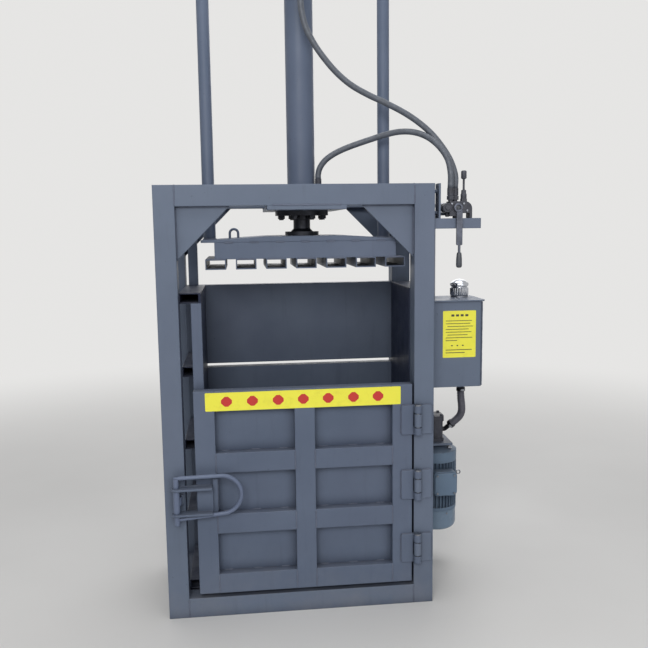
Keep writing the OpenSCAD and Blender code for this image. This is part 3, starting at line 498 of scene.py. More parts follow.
def hex_head(place, axis, across, height, washer=True):
    """A chamfered hexagon head, with a washer under it."""
    r = across / 2 / math.cos(math.pi / 6)
    parts = []
    start = 0.0
    if washer:
        w = across * 0.95
        parts.append(turned(place, axis, [(-0.0004, w * 0.97, 0), (0.0012, w, 0), (0.0020, w * 0.96, 0)]))
        start = 0.0016
    parts.append(turned(place, axis, [
        (start, r, 6), (start + height * 0.78, r, 6), (start + height * 0.94, r * 0.93, 12),
        (start + height, r * 0.80, 0), (start + height * 0.97, r * 0.45, 0)]))
    return parts


def socket_head(place, axis, d, height):
    """A cap screw with a plain round head and a hexagon socket."""
    r = d / 2
    return [turned(place, axis, [
        (-0.0003, r, 0), (height * 0.85, r, 0), (height, r * 0.88, 0), (height, r * 0.55, 6),
        (height * 0.45, r * 0.50, 6)])]


def screws():
    parts = []
    low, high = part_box("terminal_box")
    for x in (low[0] + 0.015, high[0] - 0.015):
        for z in (low[2] + 0.015, high[2] - 0.015):
            parts += socket_head((x, low[1] + 0.0002, z), (0, -1, 0), 0.0085, 0.0045)
    shield_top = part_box("motor_end_shields")[1][2] - 0.018
    for k in range(4):
        a = math.radians(45 + 90 * k)
        parts += hex_head((MOTOR_X + 0.072 * math.cos(a), MOTOR_Y + 0.072 * math.sin(a), shield_top),
                          (0, 0, 1), 0.013, 0.008)
    low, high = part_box("fan_cowl")
    r = (high[0] - low[0]) / 2
    for k in range(4):
        a = math.radians(20 + 90 * k)
        out = (math.cos(a), math.sin(a), 0)
        place = (MOTOR_X + r * out[0], MOTOR_Y + r * out[1], high[2] - 0.012)
        parts += socket_head(place, out, 0.008, 0.003)
    low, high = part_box("motor_bracket")
    for y in (low[1] + 0.024, high[1] - 0.024):
        for z in (0.650, 0.700):
            parts += hex_head((HALF_W + 0.0082, y, z), (1, 0, 0), 0.013, 0.008)
    for x, z in ((-0.024, 0.057), (0.024, 0.057), (0.038, 0.030)):
        parts += socket_head((VALVE_X + x, VALVE_FRONT, ANGLE_Z + z), (0, -1, 0), 0.008, 0.005)
    low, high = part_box("tank_brackets")
    for z in (low[2] + 0.035, high[2] - 0.035):
        parts += hex_head((HALF_W + 0.004, low[1] - 0.0002, z), (0, -1, 0), 0.006, 0.004, False)
    return parts


def clamp_screws():
    """The tightening blocks and screws of the two worm-drive clamps on the suction hose."""
    parts = []
    line = metres(SUCTION_ROUTE, TANK_Z)
    for end, inner in ((line[0], line[1]), (line[-1], line[-2])):
        along = (Vector(inner) - Vector(end)).normalized()
        out = Vector((0, -1, 0))
        out = (out - along * out.dot(along)).normalized()
        axis = along.cross(out)
        start = Vector(end) + along * 0.011 + out * (SUCTION_D / 2 + 0.0045) - axis * 0.009
        parts.append(turned(start, axis, [
            (0, 0.0055, 4), (0.001, 0.0062, 4), (0.012, 0.0062, 4), (0.013, 0.0055, 4)]))
        parts += hex_head(start + axis * 0.013, axis, 0.007, 0.004, False)
    return parts


def motor_eye():
    """A cast lifting eye screwed into the right of the motor's body."""
    centre = Vector(EYE_AT)
    ring = [centre + Vector((0.0085 * math.cos(a), 0, 0.0085 * math.sin(a)))
            for a in (2 * math.pi * i / 40 for i in range(41))]
    return [tube_mesh(ring, 0.0027, 12),
            turned(centre - Vector((0.0185, 0, 0)), (1, 0, 0), [
                (0, 0.0075, 0), (0.005, 0.0075, 0), (0.0065, 0.0060, 0), (0.011, 0.0035, 0)])]


def film(low, high, y, corner=0.004):
    """Points and faces of a thin printed film with rounded corners, facing the front."""
    return slab(rounded_box(*low, *high, corner, 4), y, y - FILM_T)


def lozenge(x, z, y):
    """Points and faces of a thin mark: a diamond with blunt corners, facing the front."""
    blunt = 0.24
    tips = ((1, 0), (0, 1), (-1, 0), (0, -1))
    outline = []
    for (ax, az), (bx, bz) in zip(tips, tips[1:] + tips[:1]):
        for share in (blunt, 1 - blunt):
            outline.append((x + MARK_W / 2 * (ax + (bx - ax) * share),
                            z + MARK_H / 2 * (az + (bz - az) * share)))
    return slab(outline, y, y - FILM_T)


# Forms that stand for plainer CAD solids


def soften(piece, width):
    bevel = piece.modifiers.new("edges", "BEVEL")
    bevel.width = width
    bevel.segments = 2
    bevel.limit_method = "ANGLE"
    bevel.angle_limit = math.radians(40)


def guide_posts():
    """Two round posts that stand on the ends of the top plate, each with a pressed cap."""
    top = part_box("guide_posts")[1][2]
    r = POST_D / 2
    return [turned((x, MID_Y, 0), (0, 0, 1), [
        (PLATE_Z + HAT_T - 0.001, r, 0), (top - 0.005, r, 0), (top - 0.002, r - 0.001, 0),
        (top, r - 0.004, 0), (top, r - 0.009, 0), (top - 0.002, r - 0.011, 0)]) for x in POST_X]


def top_plate():
    """The folded plate over the platen's channels, with the staple eye on its slope."""
    foot = POST_D / 2 + 0.003
    left, right = POST_X[0] + foot, POST_X[1] - foot
    far_left, far_right = POST_X[0] - foot, POST_X[1] + foot
    upper = [(far_right, 0), (right, 0), (RAM_X + HAT_FLAT, HAT_RISE), (RAM_X - HAT_FLAT, HAT_RISE),
             (left, 0), (far_left, 0)]
    outline = [(far_left, PLATE_Z), (far_right, PLATE_Z)] + [(x, PLATE_Z + z + HAT_T) for x, z in upper]
    low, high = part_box("platen_plate")
    eye_x, eye_y, eye_r = -0.242, 0.180, 0.017
    base = PLATE_Z + HAT_T
    staple = [(eye_x - eye_r, base), (eye_x - eye_r, base + 0.012)]
    staple += arc(eye_x, base + 0.024, eye_r, 180, 0, 16)
    staple += [(eye_x + eye_r, base + 0.012), (eye_x + eye_r, base)]
    return [slab(outline, low[1], high[1]), tube_mesh([(x, eye_y, z) for x, z in staple], 0.005, 16)]


def latch_handle():
    """A rod bent into a long loop: level above, slanting below, its two ends over the latch pin."""
    rod_r, depth = 0.008, -0.078
    bend_x, bend_z, bend_r = -0.316, 0.523, 0.077
    end = -0.500
    reach, slant, steps = bend_x - end, 0.017, 8
    upper = [(end + reach * i / steps, 0.596 + 0.004 * i / steps) for i in range(steps)]
    lower = [(bend_x - reach * i / steps, bend_z - bend_r - slant * i / steps) for i in range(1, steps + 1)]
    line = [(x, depth, z) for x, z in upper + arc(bend_x, bend_z, bend_r, 90, -90, 28) + lower]
    length = route_length([np.array(p) for p in line])

    def size(s):
        close = min(s, length - s)
        return rod_r * math.sqrt(min(1.0, 0.35 + close / 0.006))

    return [tube_mesh(line, size, 20)]


def valve_casting():
    """Spool housing with a round front cap at the left, an arched leg at the right and a middle foot."""
    back = VALVE_Y + VALVE_D / 2
    outline = [(-0.032, 0.008), (0.020, 0.008), (0.020, 0.020), (0.049, 0.020), (0.049, 0), (0.059, 0)]
    outline += arc(0.030, 0.037, 0.029, 0, 90) + [(-0.032, 0.066)]
    foot = [(-0.008, 0), (0.014, 0), (0.014, 0.010), (-0.008, 0.010)]

    def place(points):
        return [(VALVE_X + x, ANGLE_Z + z) for x, z in points]

    parts = [slab(place(outline), VALVE_FRONT, back), slab(place(foot), VALVE_FRONT + 0.006, back - 0.006)]
    parts.append(turned((VALVE_X - 0.042, VALVE_FRONT - 0.006, PIVOT_Z), (0, 1, 0), [
        (0, 0.0165, 0), (0.0015, 0.0185, 0), (0.050, 0.0190, 0), (0.052, 0.0175, 0)]))
    parts += hex_head((VALVE_X - 0.042, VALVE_FRONT - 0.006, PIVOT_Z), (0, -1, 0), 0.017, 0.008, False)
    parts.append(turned((VALVE_X - 0.035, VALVE_Y, ANGLE_Z + 0.006), (0, 0, 1), [
        (0, 0.0060, 0), (0.002, 0.0080, 0), (0.014, 0.0080, 0), (0.022, 0.0070, 0)]))
    parts.append(turned((VALVE_X - 0.066, VALVE_Y, PIVOT_Z), (1, 0, 0), [
        (0, 0.0065, 0), (0.0015, 0.0080, 0), (0.020, 0.0080, 0)]))
    parts.append(turned((VALVE_X, VALVE_FRONT - 0.0012, PIVOT_Z), (0, 1, 0), [
        (0, 0.0150, 0), (0.0012, 0.0160, 0), (0.004, 0.0160, 0)]))
    return parts


def relief_cartridge():
    """A cartridge in the casting's top, with a thin stem up to a round fitting."""
    return [turned((VALVE_X + 0.034, VALVE_Y + 0.010, VALVE_TOP - 0.002), (0, 0, 1), [
        (0, 0.0135, 6), (0.012, 0.0135, 6), (0.013, 0.0120, 0), (0.030, 0.0120, 0), (0.033, 0.0100, 0),
        (0.046, 0.0095, 6), (0.047, 0.0050, 0), (0.052, 0.0042, 0), (0.088, 0.0042, 0), (0.091, 0.0095, 0),
        (0.094, 0.0110, 0), (0.118, 0.0110, 0), (0.122, 0.0085, 0), (0.123, 0.0040, 0)])]


def lever_arm():
    """A ring eye on the spindle, a flat bar below it and a rod that enters the grip."""
    eye = turned((VALVE_X, VALVE_FRONT - 0.0008, PIVOT_Z), (0, -1, 0), [
        (0, 0.0170, 0), (0.0008, 0.0178, 0), (0.0115, 0.0178, 0), (0.0128, 0.0165, 0), (0.0128, 0.0115, 0),
        (0.0120, 0.0105, 0), (0.0065, 0.0100, 0)])
    bar_low, rod_heights = 1.478, (1.434, 1.450, 1.470, 1.490)
    bar = slab(rounded_box(ARM_X - 0.012, bar_low, ARM_X + 0.012, PIVOT_Z - 0.008, 0.0055),
               VALVE_FRONT - 0.0125, VALVE_FRONT - 0.0045)
    rod = tube_mesh([(ARM_X, ARM_Y, z) for z in rod_heights], 0.0052, 16)
    return [eye, bar, rod]


def lever_knob():
    """The grip, and the dark bolt in the eye's recess."""
    bolt = turned((VALVE_X, VALVE_FRONT - 0.0060, PIVOT_Z), (0, -1, 0), [
        (0, 0.0098, 0), (0.0022, 0.0098, 0), (0.0030, 0.0060, 6), (0.0062, 0.0056, 6)])
    return [bolt, turned((ARM_X, ARM_Y, PIVOT_Z - 0.235), (0, 0, 1), [
        (0, 0.0060, 0), (0.0015, 0.0090, 0), (0.005, 0.0112, 0), (0.012, 0.0120, 0), (0.034, 0.0114, 0),
        (0.052, 0.0098, 0), (0.058, 0.0088, 0), (0.060, 0.0070, 0)])]


def connection_box():
    """The motor's terminal box: round corners, a raised lid and a neck to the body."""
    low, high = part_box("terminal_box")
    back = low[1] + 0.052
    box = rounded_box(low[0], low[2], high[0], high[2], 0.021)
    lid = rounded_box(low[0] + 0.004, low[2] + 0.004, high[0] - 0.004, high[2] - 0.004, 0.018)
    neck = rounded_box(MOTOR_X - 0.028, low[2] + 0.020, MOTOR_X + 0.036, high[2] - 0.020, 0.008)
    return [slab(box, low[1] + 0.008, back), slab(lid, low[1], low[1] + 0.0068),
            slab(neck, back - 0.001, high[1] - 0.002)]


def hinge_halves(node, spans):
    """A node's three flat leaves, each with its round knuckles on the pins' line."""
    on_door = node == "door_hinge_leaves"
    back = DOOR_FRONT if on_door else FRONT
    parts = []
    for low, high in hinge_leaves(node):
        edge = low[0] if on_door else high[0]
        side = -1 if on_door else 1
        near = PIN_X + side * (KNUCKLE_R + 0.0015)
        outline = rounded_box(min(edge, near), low[2], max(edge, near), high[2], 0.003)
        parts.append(slab(outline, back - LEAF_T, back))
        for start, end in spans:
            base, top = low[2] + start * HINGE_H, low[2] + end * HINGE_H
            tab = [(min(PIN_X, near), base), (max(PIN_X, near), base), (max(PIN_X, near), top),
                   (min(PIN_X, near), top)]
            parts.append(slab(tab, back - LEAF_T + 0.0004, back - 0.002))
            parts.append(turned((PIN_X, PIN_Y, 0), (0, 0, 1), [
                (base, KNUCKLE_R - 0.0015, 0), (base + 0.0012, KNUCKLE_R, 0), (top - 0.0012, KNUCKLE_R, 0),
                (top, KNUCKLE_R - 0.0015, 0)]))
    return parts


def cap():
    """The filler's chromed cap: a fluted skirt, a groove and a rolled rim under a low dome."""
    low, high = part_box("breather_cap")
    x, y = (low[0] + high[0]) / 2, (low[1] + high[1]) / 2
    r = (high[0] - low[0]) / 2
    tall = high[2] - low[2]
    flutes = 24
    around = 8 * flutes
    # Shares of the cap's height and radius, and whether the ring is fluted
    rings = [(0, 0.62, 0), (0, 0.90, 0), (0.05, 0.95, 1), (0.46, 0.95, 1), (0.50, 0.86, 0),
             (0.54, 0.84, 0), (0.57, 0.93, 0), (0.61, 0.99, 0), (0.70, 1.0, 0), (0.76, 0.96, 0),
             (0.80, 0.86, 0), (0.88, 0.70, 0), (0.95, 0.45, 0), (0.99, 0.2, 0), (1.0, 0.03, 0)]
    verts = []
    for share, wide, fluted in rings:
        for i in range(around):
            a = 2 * math.pi * i / around
            reach = r * wide * (1 + 0.035 * fluted * math.cos(flutes * a))
            verts.append((x + reach * math.cos(a), y + reach * math.sin(a), low[2] + tall * share))
    faces = [tuple(reversed(range(around))), tuple(range(len(verts) - around, len(verts)))]
    for k in range(len(rings) - 1):
        a, b = k * around, (k + 1) * around
        faces += [(a + i, a + (i + 1) % around, b + (i + 1) % around, b + i) for i in range(around)]
    return [(verts, faces)]


def make_forms(materials):
    """Pieces in place of CAD nodes: name, node, body, parts, material, width of the rounded edges."""
    for name, node, body, parts, slot, edge in (
        ("round_guide_posts", "guide_posts", "platen", guide_posts(), "paint_low", 0),
        ("folded_top_plate", "platen_plate", "platen", top_plate(), "paint_low", 0.0012),
        # the latch handle's enamel is lightened as a painted highlight
        ("bent_latch_handle", "latch_handle", "latch", latch_handle(), "lit_handle_paint", 0),
        ("lever_valve_casting", "valve_body", "frame", valve_casting(), "cast_iron", 0.0016),
        ("relief_cartridge", "relief_valve", "frame", relief_cartridge(), "cast_iron", 0.0004),
        ("lever_arm", "valve_lever", "lever", lever_arm(), "lever_steel", 0.0006),
        ("lever_knob", "lever_grip", "lever", lever_knob(), "grip", 0),
        ("door_hinge_halves", "door_hinge_leaves", "door",
         hinge_halves("door_hinge_leaves", DOOR_KNUCKLES), "paint_low", 0.0008),
        ("column_hinge_halves", "column_hinge_leaves", "frame",
         hinge_halves("column_hinge_leaves", COLUMN_KNUCKLES), "paint", 0.0008),
        ("filler_cap", "breather_cap", "filler", cap(), "chrome", 0),
        ("connection_box", "terminal_box", "frame", connection_box(), "motor_paint", 0.0022),
    ):
        piece = joined(name, parts)
        piece.data.set_sharp_from_angle(angle=SHARP)
        if edge:
            soften(piece, edge)
        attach(piece, body)
        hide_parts(node)
        dress(piece, materials[slot])


# Labels


def make_labels():
    """The door's strip with plain marks, and the tank's label with plain bars."""
    strip = new_piece("door_strip", *film(STRIP_LOW, STRIP_HIGH, DOOR_FRONT - 0.0002), False)
    z = (STRIP_LOW[1] + STRIP_HIGH[1]) / 2
    marks = joined("door_strip_marks", [lozenge(x, z, DOOR_FRONT - 0.0006) for x in MARK_X], False)
    label = new_piece("tank_label", *film(LABEL_LOW, LABEL_HIGH, TANK_FRONT - 0.0002), False)
    left, right = LABEL_LOW[0] + 0.012, LABEL_HIGH[0] - 0.012
    wide = right - left
    heading = [(share, share + 0.11, 1.182, 0.009) for share in (0.2, 0.37, 0.54, 0.71)]
    rows = ((0, 0.96), (0, 0.9), (0.06, 1), (0, 0.84), (0, 0.94), (0.06, 0.8), (0, 0.98), (0, 0.42))
    text = [(start, end, 1.163 - 0.0118 * i, 0.0025) for i, (start, end) in enumerate(rows)]
    middle = [(share, share + 0.06, 1.058, 0.005) for share in (0.2, 0.4, 0.6)]
    last = [(0, 0.96, 1.041, 0.003), (0, 0.7, 1.029, 0.003)]
    lines = joined("tank_label_bars", [
        film((left + wide * start, z), (left + wide * end, z + tall), TANK_FRONT - 0.0006, 0.0012)
        for start, end, z, tall in heading + text + middle + last], False)
    return {"door": {strip: "label_yellow", marks: "label_red"},
            "frame": {label: "label_yellow", lines: "label_dark"}}


def make_details(materials):
    for name, body, parts, slot, material in (
        ("frame_welds", "frame", frame_beads(), "paint", "weld"),
        ("door_welds", "door", door_beads(), "paint", "weld"),
        ("platen_welds", "platen", platen_beads(), "paint", "weld"),
        ("machine_screws", "frame", screws(), "steel", "steel"),
        ("hose_clamp_screws", "frame", clamp_screws(), "steel", "steel"),
        ("motor_lifting_eye", "frame", motor_eye(), "steel", "steel"),
    ):
        piece = joined(name, parts)
        piece.data.set_sharp_from_angle(angle=SHARP)
        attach(piece, body)
        dress(piece, materials[material])
    for body, labels in make_labels().items():
        for piece, material in labels.items():
            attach(piece, body)
            dress(piece, materials[material])


# Materials


class Shader:
    """A small helper that adds nodes to one material."""

    def __init__(self, name):
        self.material = bpy.data.materials.new(name)
        self.material.use_nodes = True
        self.tree = self.material.node_tree
        self.bsdf = self.tree.nodes["Principled BSDF"]
        self.place = self.add("ShaderNodeTexCoord").outputs["Object"]

    def add(self, kind, inputs=None, **settings):
        node = self.tree.nodes.new(kind)
        for key, value in settings.items():
            setattr(node, key, value)
        for key, value in (inputs or {}).items():
            self.feed(node.inputs[key], value)
        return node

    def feed(self, socket, value):
        if isinstance(value, bpy.types.NodeSocket):
            self.tree.links.new(value, socket)
        elif hasattr(socket.default_value, "__len__") and len(socket.default_value) == 4:
            socket.default_value = (*value, 1.0)
        else:
            socket.default_value = value

    def noise(self, scale, detail=3.0, rough=0.5, stretch=(1, 1, 1)):
        place = self.add("ShaderNodeMapping", {"Vector": self.place, "Scale": stretch}).outputs[0]
        return self.add("ShaderNodeTexNoise", {
            "Vector": place, "Scale": scale, "Detail": detail, "Roughness": rough}).outputs["Fac"]

    def ramp(self, value, low, high, out_low=0.0, out_high=1.0):
        return self.add("ShaderNodeMapRange", {
            "Value": value, "From Min": low, "From Max": high,
            "To Min": out_low, "To Max": out_high}).outputs["Result"]

    def math(self, kind, a, b=0.0):
        return self.add("ShaderNodeMath", {0: a, 1: b}, operation=kind).outputs[0]

    def mix(self, share, a, b):
        node = self.add("ShaderNodeMix", data_type="RGBA")
        self.feed(node.inputs[0], share)
        self.feed(node.inputs[6], a)
        self.feed(node.inputs[7], b)
        return node.outputs[2]

    def bump(self, height, strength, distance, normal=None):
        node = self.add("ShaderNodeBump", {"Height": height, "Strength": strength, "Distance": distance})
        if normal is not None:
            self.feed(node.inputs["Normal"], normal)
        return node.outputs["Normal"]

    def edge(self, radius):
        """0 on flat faces, rising towards 1 at convex and concave edges."""
        soft = self.add("ShaderNodeBevel", {"Radius": radius}, samples=6).outputs["Normal"]
        true = self.add("ShaderNodeNewGeometry").outputs["True Normal"]
        dot = self.add("ShaderNodeVectorMath", {0: soft, 1: true}, operation="DOT_PRODUCT").outputs["Value"]
        return self.ramp(dot, 0.995, 0.90)

    def facing_up(self):
        normal = self.add("ShaderNodeNewGeometry").outputs["True Normal"]
        return self.ramp(self.add("ShaderNodeSeparateXYZ", {0: normal}).outputs["Z"], 0.75, 0.95)

    def height(self):
        return self.add("ShaderNodeSeparateXYZ", {0: self.place}).outputs["Z"]

    def finish(self, **sockets):
        for key, value in sockets.items():
            self.feed(self.bsdf.inputs[key.replace("_", " ")], value)
        return self.material


def paint(name, colour, shade, rough=0.42, dirt=1.0, bump=0.25):
    """Sprayed enamel on steel: cloudy, with orange peel, rubbed edges, runs, specks and dust, and painted
    shade that darkens its corners, recesses and the faces close to other parts.
    """
    s = Shader(name)
    cloud = s.ramp(s.noise(3.2, 4, 0.55), 0.32, 0.68)
    base = s.mix(cloud, colour, shade)
    warm = s.ramp(s.noise(1.7, 2, 0.4), 0.45, 0.75, 0.0, 0.35)
    base = s.mix(warm, base, tuple(c * k for c, k in zip(colour, (1.06, 0.97, 0.99))))
    runs = s.ramp(s.noise(9.0, 4, 0.6, (3.5, 3.5, 0.35)), 0.58, 0.74, 0.0, 0.28 * dirt)
    base = s.mix(runs, base, tuple(c * 0.62 for c in colour))
    specks = s.ramp(s.noise(95.0, 1, 0.4), 0.765, 0.79, 0.0, 0.45 * dirt)
    base = s.mix(specks, base, tuple(c * 0.35 for c in colour))
    rubbed = s.math("MULTIPLY", s.edge(0.0022), s.ramp(s.noise(22.0, 3, 0.6), 0.38, 0.66, 0.0, 0.55))
    base = s.mix(rubbed, base, tuple(min(1.0, c * 1.75 + 0.01) for c in colour))
    dusty = s.ramp(s.noise(14.0, 4, 0.6), 0.3, 0.7, 0.15 * dirt, 0.55 * dirt)
    settled = s.math("MULTIPLY", s.facing_up(), dusty)
    base = s.mix(settled, base, srgb(DUST))
    splash = s.ramp(s.height(), 0.30, 0.0, 0.0, 0.45 * dirt)
    splash = s.math("MULTIPLY", splash, s.ramp(s.noise(7.0, 5, 0.65), 0.4, 0.7))
    base = s.mix(splash, base, srgb(DUST))
    # Painted shade: the colour darkens towards a dark navy where ambient occlusion finds corners, recesses
    # and nearby parts
    open_air = s.add("ShaderNodeAmbientOcclusion", {"Distance": 0.05}, samples=6).outputs["AO"]
    darkening = s.ramp(open_air, 0.30, 0.90, 0.52, 0.0)
    base = s.mix(darkening, base, srgb(PAINTED_SHADE))
    soft = s.add("ShaderNodeBevel", {"Radius": CORNER}, samples=6).outputs["Normal"]
    peel = s.noise(420.0, 2, 0.5)
    wave = s.noise(34.0, 2, 0.5)
    height = s.math("ADD", peel, s.math("MULTIPLY", wave, 2.2))
    shine = s.ramp(s.noise(11.0, 3, 0.5), 0.3, 0.7, rough - 0.06, rough + 0.12)
    return s.finish(Base_Color=base, Roughness=shine, Normal=s.bump(height, bump, 0.0006, soft),
                    Specular_IOR_Level=0.22)


def bare_metal(name, colour, rough, metallic=1.0, oil=0.35):
    """Plated or bright metal with a film of oil and dirt in patches."""
    s = Shader(name)
    oily = s.ramp(s.noise(26.0, 4, 0.6), 0.42, 0.68, 0.0, oil)
    base = s.mix(oily, colour, tuple(c * 0.3 for c in colour))
    marks = s.noise(60.0, 3, 0.6)
    shine = s.ramp(marks, 0.3, 0.7, max(0.04, rough - 0.08), rough + 0.14)
    return s.finish(Base_Color=base, Roughness=shine, Metallic=metallic, Normal=s.bump(marks, 0.12, 0.0004))


def cast(name, colour):
    """A raw casting with a sandy surface, rubbed edges and grime."""
    s = Shader(name)
    darkening = s.ramp(s.noise(30.0, 4, 0.6), 0.4, 0.68, 0.0, 0.7)
    base = s.mix(darkening, colour, tuple(c * 0.35 for c in colour))
    rubbed = s.math("MULTIPLY", s.edge(0.0014), 0.6)
    base = s.mix(rubbed, base, tuple(min(1, c * 2.1 + 0.02) for c in colour))
    grain = s.noise(520.0, 3, 0.7)
    shine = s.ramp(s.noise(50.0, 2, 0.5), 0.3, 0.7, 0.45, 0.67)
    return s.finish(Base_Color=base, Roughness=shine, Normal=s.bump(grain, 0.5, 0.0009))


def rubber(name, colour, rough, weave=0.0):
    """Rubber with a dusty bloom and, where weave is set, the print of a wrapped cloth."""
    s = Shader(name)
    bloom = s.ramp(s.noise(40.0, 4, 0.6), 0.4, 0.7, 0.0, 0.35)
    base = s.mix(bloom, colour, tuple(min(1, c * 1.9 + 0.012) for c in colour))
    cloth = s.noise(700.0, 2, 0.5, (1, 1, 0.4))
    shine = s.ramp(s.noise(60.0, 2, 0.5), 0.3, 0.7, rough - 0.08, rough + 0.1)
    return s.finish(Base_Color=base, Roughness=shine, Normal=s.bump(cloth, 0.15 + weave, 0.0004))


def sticker(name, colour, dirt_colour):
    """Printed film: even colour with rubbed dirt, a slight sheen and small wrinkles."""
    s = Shader(name)
    rub = s.ramp(s.noise(34.0, 5, 0.65), 0.52, 0.78, 0.0, 0.3)
    base = s.mix(rub, colour, dirt_colour)
    shine = s.ramp(s.noise(18.0, 2, 0.5), 0.3, 0.7, 0.34, 0.5)
    return s.finish(Base_Color=base, Roughness=shine, Normal=s.bump(s.noise(45.0, 2, 0.5), 0.1, 0.0005))


def make_materials():
    return {
        "paint": paint("baler_enamel", srgb("#6a7588"), srgb("#636e80")),
        # A darker copy of the enamel, for the door, latch hasp, platen, cylinder, guide posts, door hinges
        # and wall posts
        "paint_low": paint("darker_enamel", srgb("#636e82"), srgb("#5a6579"), dirt=0.75),
        # The motor's enamel made lighter on the fan cowl as a painted highlight, and glossier
        "lit_cowl_paint": paint("cowl_enamel_painted_highlight", srgb("#8094a8"), srgb("#72869b"), rough=0.26, dirt=0.6),
        # Near-black copy of the enamel for the side walls and their ribs: painted shade
        "painted_shade_walls": paint("painted_shade_enamel", srgb("#2b3248"), srgb("#22283a")),
        "lever_steel": bare_metal("lever_steel", srgb("#5c606c"), 0.42, 0.6, 0.5),
        # The door's blue-grey enamel made lighter for the latch handle and pin: painted highlight
        "lit_handle_paint": paint("handle_enamel_painted_highlight", srgb("#707c94"), srgb("#657088"), rough=0.3, dirt=0.4),
        # A darker copy of the enamel for the chamber's walls: painted shade
        "wall_paint": paint("chamber_enamel_painted_shade", srgb("#566071"), srgb("#4b5466"), dirt=1.3),
        "weld": paint("weld_enamel", srgb("#6b7385"), srgb("#5d6476"), rough=0.34, dirt=0.7, bump=0.6),
        "motor_paint": paint("motor_enamel", srgb("#6f8398"), srgb("#64778d"), rough=0.36),
        "dark_steel": bare_metal("oily_steel", srgb("#25272f"), 0.36, 0.6, 0.6),
        "steel": bare_metal("plated_steel", srgb("#8f9299"), 0.34),
        "chrome": bare_metal("bright_chrome", srgb("#b9bcc2"), 0.12, 1.0, 0.2),
        "cast_iron": cast("cast_metal", srgb("#3c3e48")),
        "copper": bare_metal("varnished_winding", srgb("#a5622e"), 0.4, 0.6),
        "black_plastic": rubber("moulded_plastic", srgb("#191a1c"), 0.45),
        "grip": rubber("lever_grip_plastic", srgb("#3d4148"), 0.4),
        "black_fittings": bare_metal("black_steel", srgb("#1d1e23"), 0.4, 0.6, 0.3),
        "suction_rubber": rubber("ribbed_rubber", srgb("#4d4d57"), 0.5),
        "hose_rubber": rubber("hose_cover", srgb("#50555e"), 0.5, 0.2),
        "label_yellow": sticker("label_yellow", srgb("#f6f04a"), srgb("#c9bf3c")),
        "label_red": sticker("label_red", srgb("#c8312c"), srgb("#a04436")),
        "label_dark": sticker("label_dark", srgb("#3b3a2c"), srgb("#5c5a3a")),
    }


def dress(piece, material):
    piece.data.materials.clear()
    piece.data.materials.append(material)


# Nodes whose look in the photograph differs from the rest of their slot
LOOKS = {
    **{name: "paint_low" for name in (
        "door_plate", "door_stiles", "door_rails", "door_hinge_leaves", "latch_hasp", "platen_tubes",
        "platen_beams", "cylinder_tube", "cylinder_cap", "wall_posts")},
    # the side walls and their ribs are painted with shade
    **{name: "painted_shade_walls" for name in ("left_wall", "right_wall", "left_wall_ribs", "right_wall_ribs")},
    **{name: "dark_steel" for name in ("piston_rod", "rod_gland", "flange_bolts")},
    # latch pin: the handle's enamel, lightened as a painted highlight
    "latch_pin": "lit_handle_paint",
    # fan cowl: lighter enamel as a painted highlight
    "fan_cowl": "lit_cowl_paint",
    "hose_fittings": "cast_iron",
}


def dress_nodes(materials):
    slots = {p["node"]: p["material_slot"] for p in frame["record"]["subparts"]}
    slots.update(LOOKS)
    for name, node in nodes.items():
        material = materials[slots[name]]
        if not node.material_slots:
            node.data.materials.append(material)
        for slot in node.material_slots:
            slot.material = material


# Stage


def make_floor():
    """A pale floor that fades into the backdrop where the camera and glossy surfaces see it."""
    corners = [(x * FLOOR_HALF, y * FLOOR_HALF, 0) for x, y in ((-1, -1), (1, -1), (1, 1), (-1, 1))]
    floor = new_piece("floor", corners, [(0, 1, 2, 3)], False)
    s = Shader("pale_floor")
    shade = s.mix(s.ramp(s.noise(0.9, 3, 0.5), 0.3, 0.7), (0.70, 0.69, 0.675), (0.75, 0.74, 0.725))
    s.finish(Base_Color=shade, Roughness=0.6)
    middle = s.add("ShaderNodeVectorMath", {0: s.place}, operation="LENGTH").outputs["Value"]
    far = s.ramp(middle, FADE_FROM, FADE_TO)
    far.node.interpolation_type = "SMOOTHSTEP"
    glow = s.add("ShaderNodeEmission", {"Color": PALE, "Strength": 1.0}).outputs[0]
    path = s.add("ShaderNodeLightPath").outputs
    seen = s.math("MAXIMUM", path["Is Camera Ray"], path["Is Glossy Ray"])
    share = s.math("MULTIPLY", far, seen)
    mixed = s.add("ShaderNodeMixShader", {0: share, 1: s.bsdf.outputs[0], 2: glow}).outputs[0]
    out = s.tree.nodes["Material Output"]
    s.tree.links.new(mixed, out.inputs["Surface"])
    dress(floor, s.material)


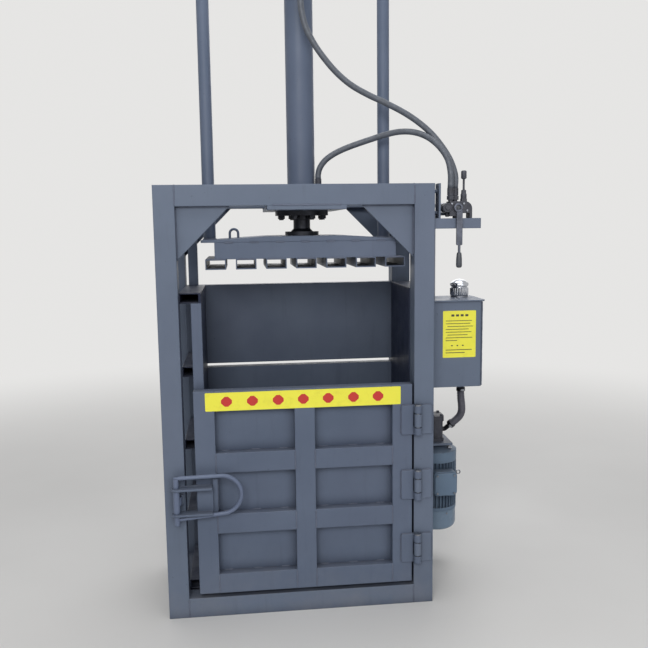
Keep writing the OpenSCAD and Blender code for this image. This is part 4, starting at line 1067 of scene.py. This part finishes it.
def make_world():
    """A dim even fill, and the pale backdrop for camera, transmission and glossy rays."""
    world = bpy.data.worlds.new("studio")
    bpy.context.scene.world = world
    world.use_nodes = True
    tree = world.node_tree
    tree.nodes.clear()
    path = tree.nodes.new("ShaderNodeLightPath")
    backdrop = tree.nodes.new("ShaderNodeBackground")
    backdrop.inputs["Color"].default_value = (*PALE, 1)
    fill = tree.nodes.new("ShaderNodeBackground")
    fill.inputs["Color"].default_value = (0.93, 0.96, 1.0, 1)
    fill.inputs["Strength"].default_value = 0.09
    seen = path.outputs["Is Camera Ray"]
    for ray in ("Is Transmission Ray", "Is Glossy Ray"):
        either = tree.nodes.new("ShaderNodeMath")
        either.operation = "MAXIMUM"
        tree.links.new(seen, either.inputs[0])
        tree.links.new(path.outputs[ray], either.inputs[1])
        seen = either.outputs[0]
    mixed = tree.nodes.new("ShaderNodeMixShader")
    tree.links.new(seen, mixed.inputs[0])
    tree.links.new(fill.outputs[0], mixed.inputs[1])
    tree.links.new(backdrop.outputs[0], mixed.inputs[2])
    out = tree.nodes.new("ShaderNodeOutputWorld")
    tree.links.new(mixed.outputs[0], out.inputs["Surface"])


def area_light(name, place, target, size, power, colour=(1, 1, 1)):
    data = bpy.data.lights.new(name, "AREA")
    data.shape = "RECTANGLE"
    data.size, data.size_y = size
    data.energy = power
    data.color = colour
    light = bpy.data.objects.new(name, data)
    bpy.context.scene.collection.objects.link(light)
    light.location = place
    light.rotation_euler = (Vector(target) - Vector(place)).to_track_quat("-Z", "Y").to_euler()


def make_lights():
    area_light("key", (-1.0, -5.0, 3.4), (0, 0, 0.9), (3.0, 2.2), 152, (1.0, 0.99, 0.97))
    area_light("front_fill", (2.2, -4.8, 2.2), (0, 0, 0.9), (2.4, 2.4), 36, (0.95, 0.97, 1.0))
    area_light("top", (0.0, 0.2, 5.2), (0, 0.2, 0), (4.5, 4.5), 150, (0.97, 0.98, 1.0))
    area_light("rear", (1.5, 4.5, 3.4), (0, 0.3, 1.0), (3.5, 3.0), 45)


make_camera()
hoses = make_hoses()
materials = make_materials()
dress_nodes(materials)
dress(hoses["cylinder_hose_upper"], materials["hose_rubber"])
dress(hoses["cylinder_hose_lower"], materials["hose_rubber"])
dress(hoses["ribbed_suction_hose"], materials["suction_rubber"])
make_forms(materials)
make_details(materials)
make_floor()
make_world()
make_lights()
bpy.context.scene.view_settings.view_transform = "Standard"
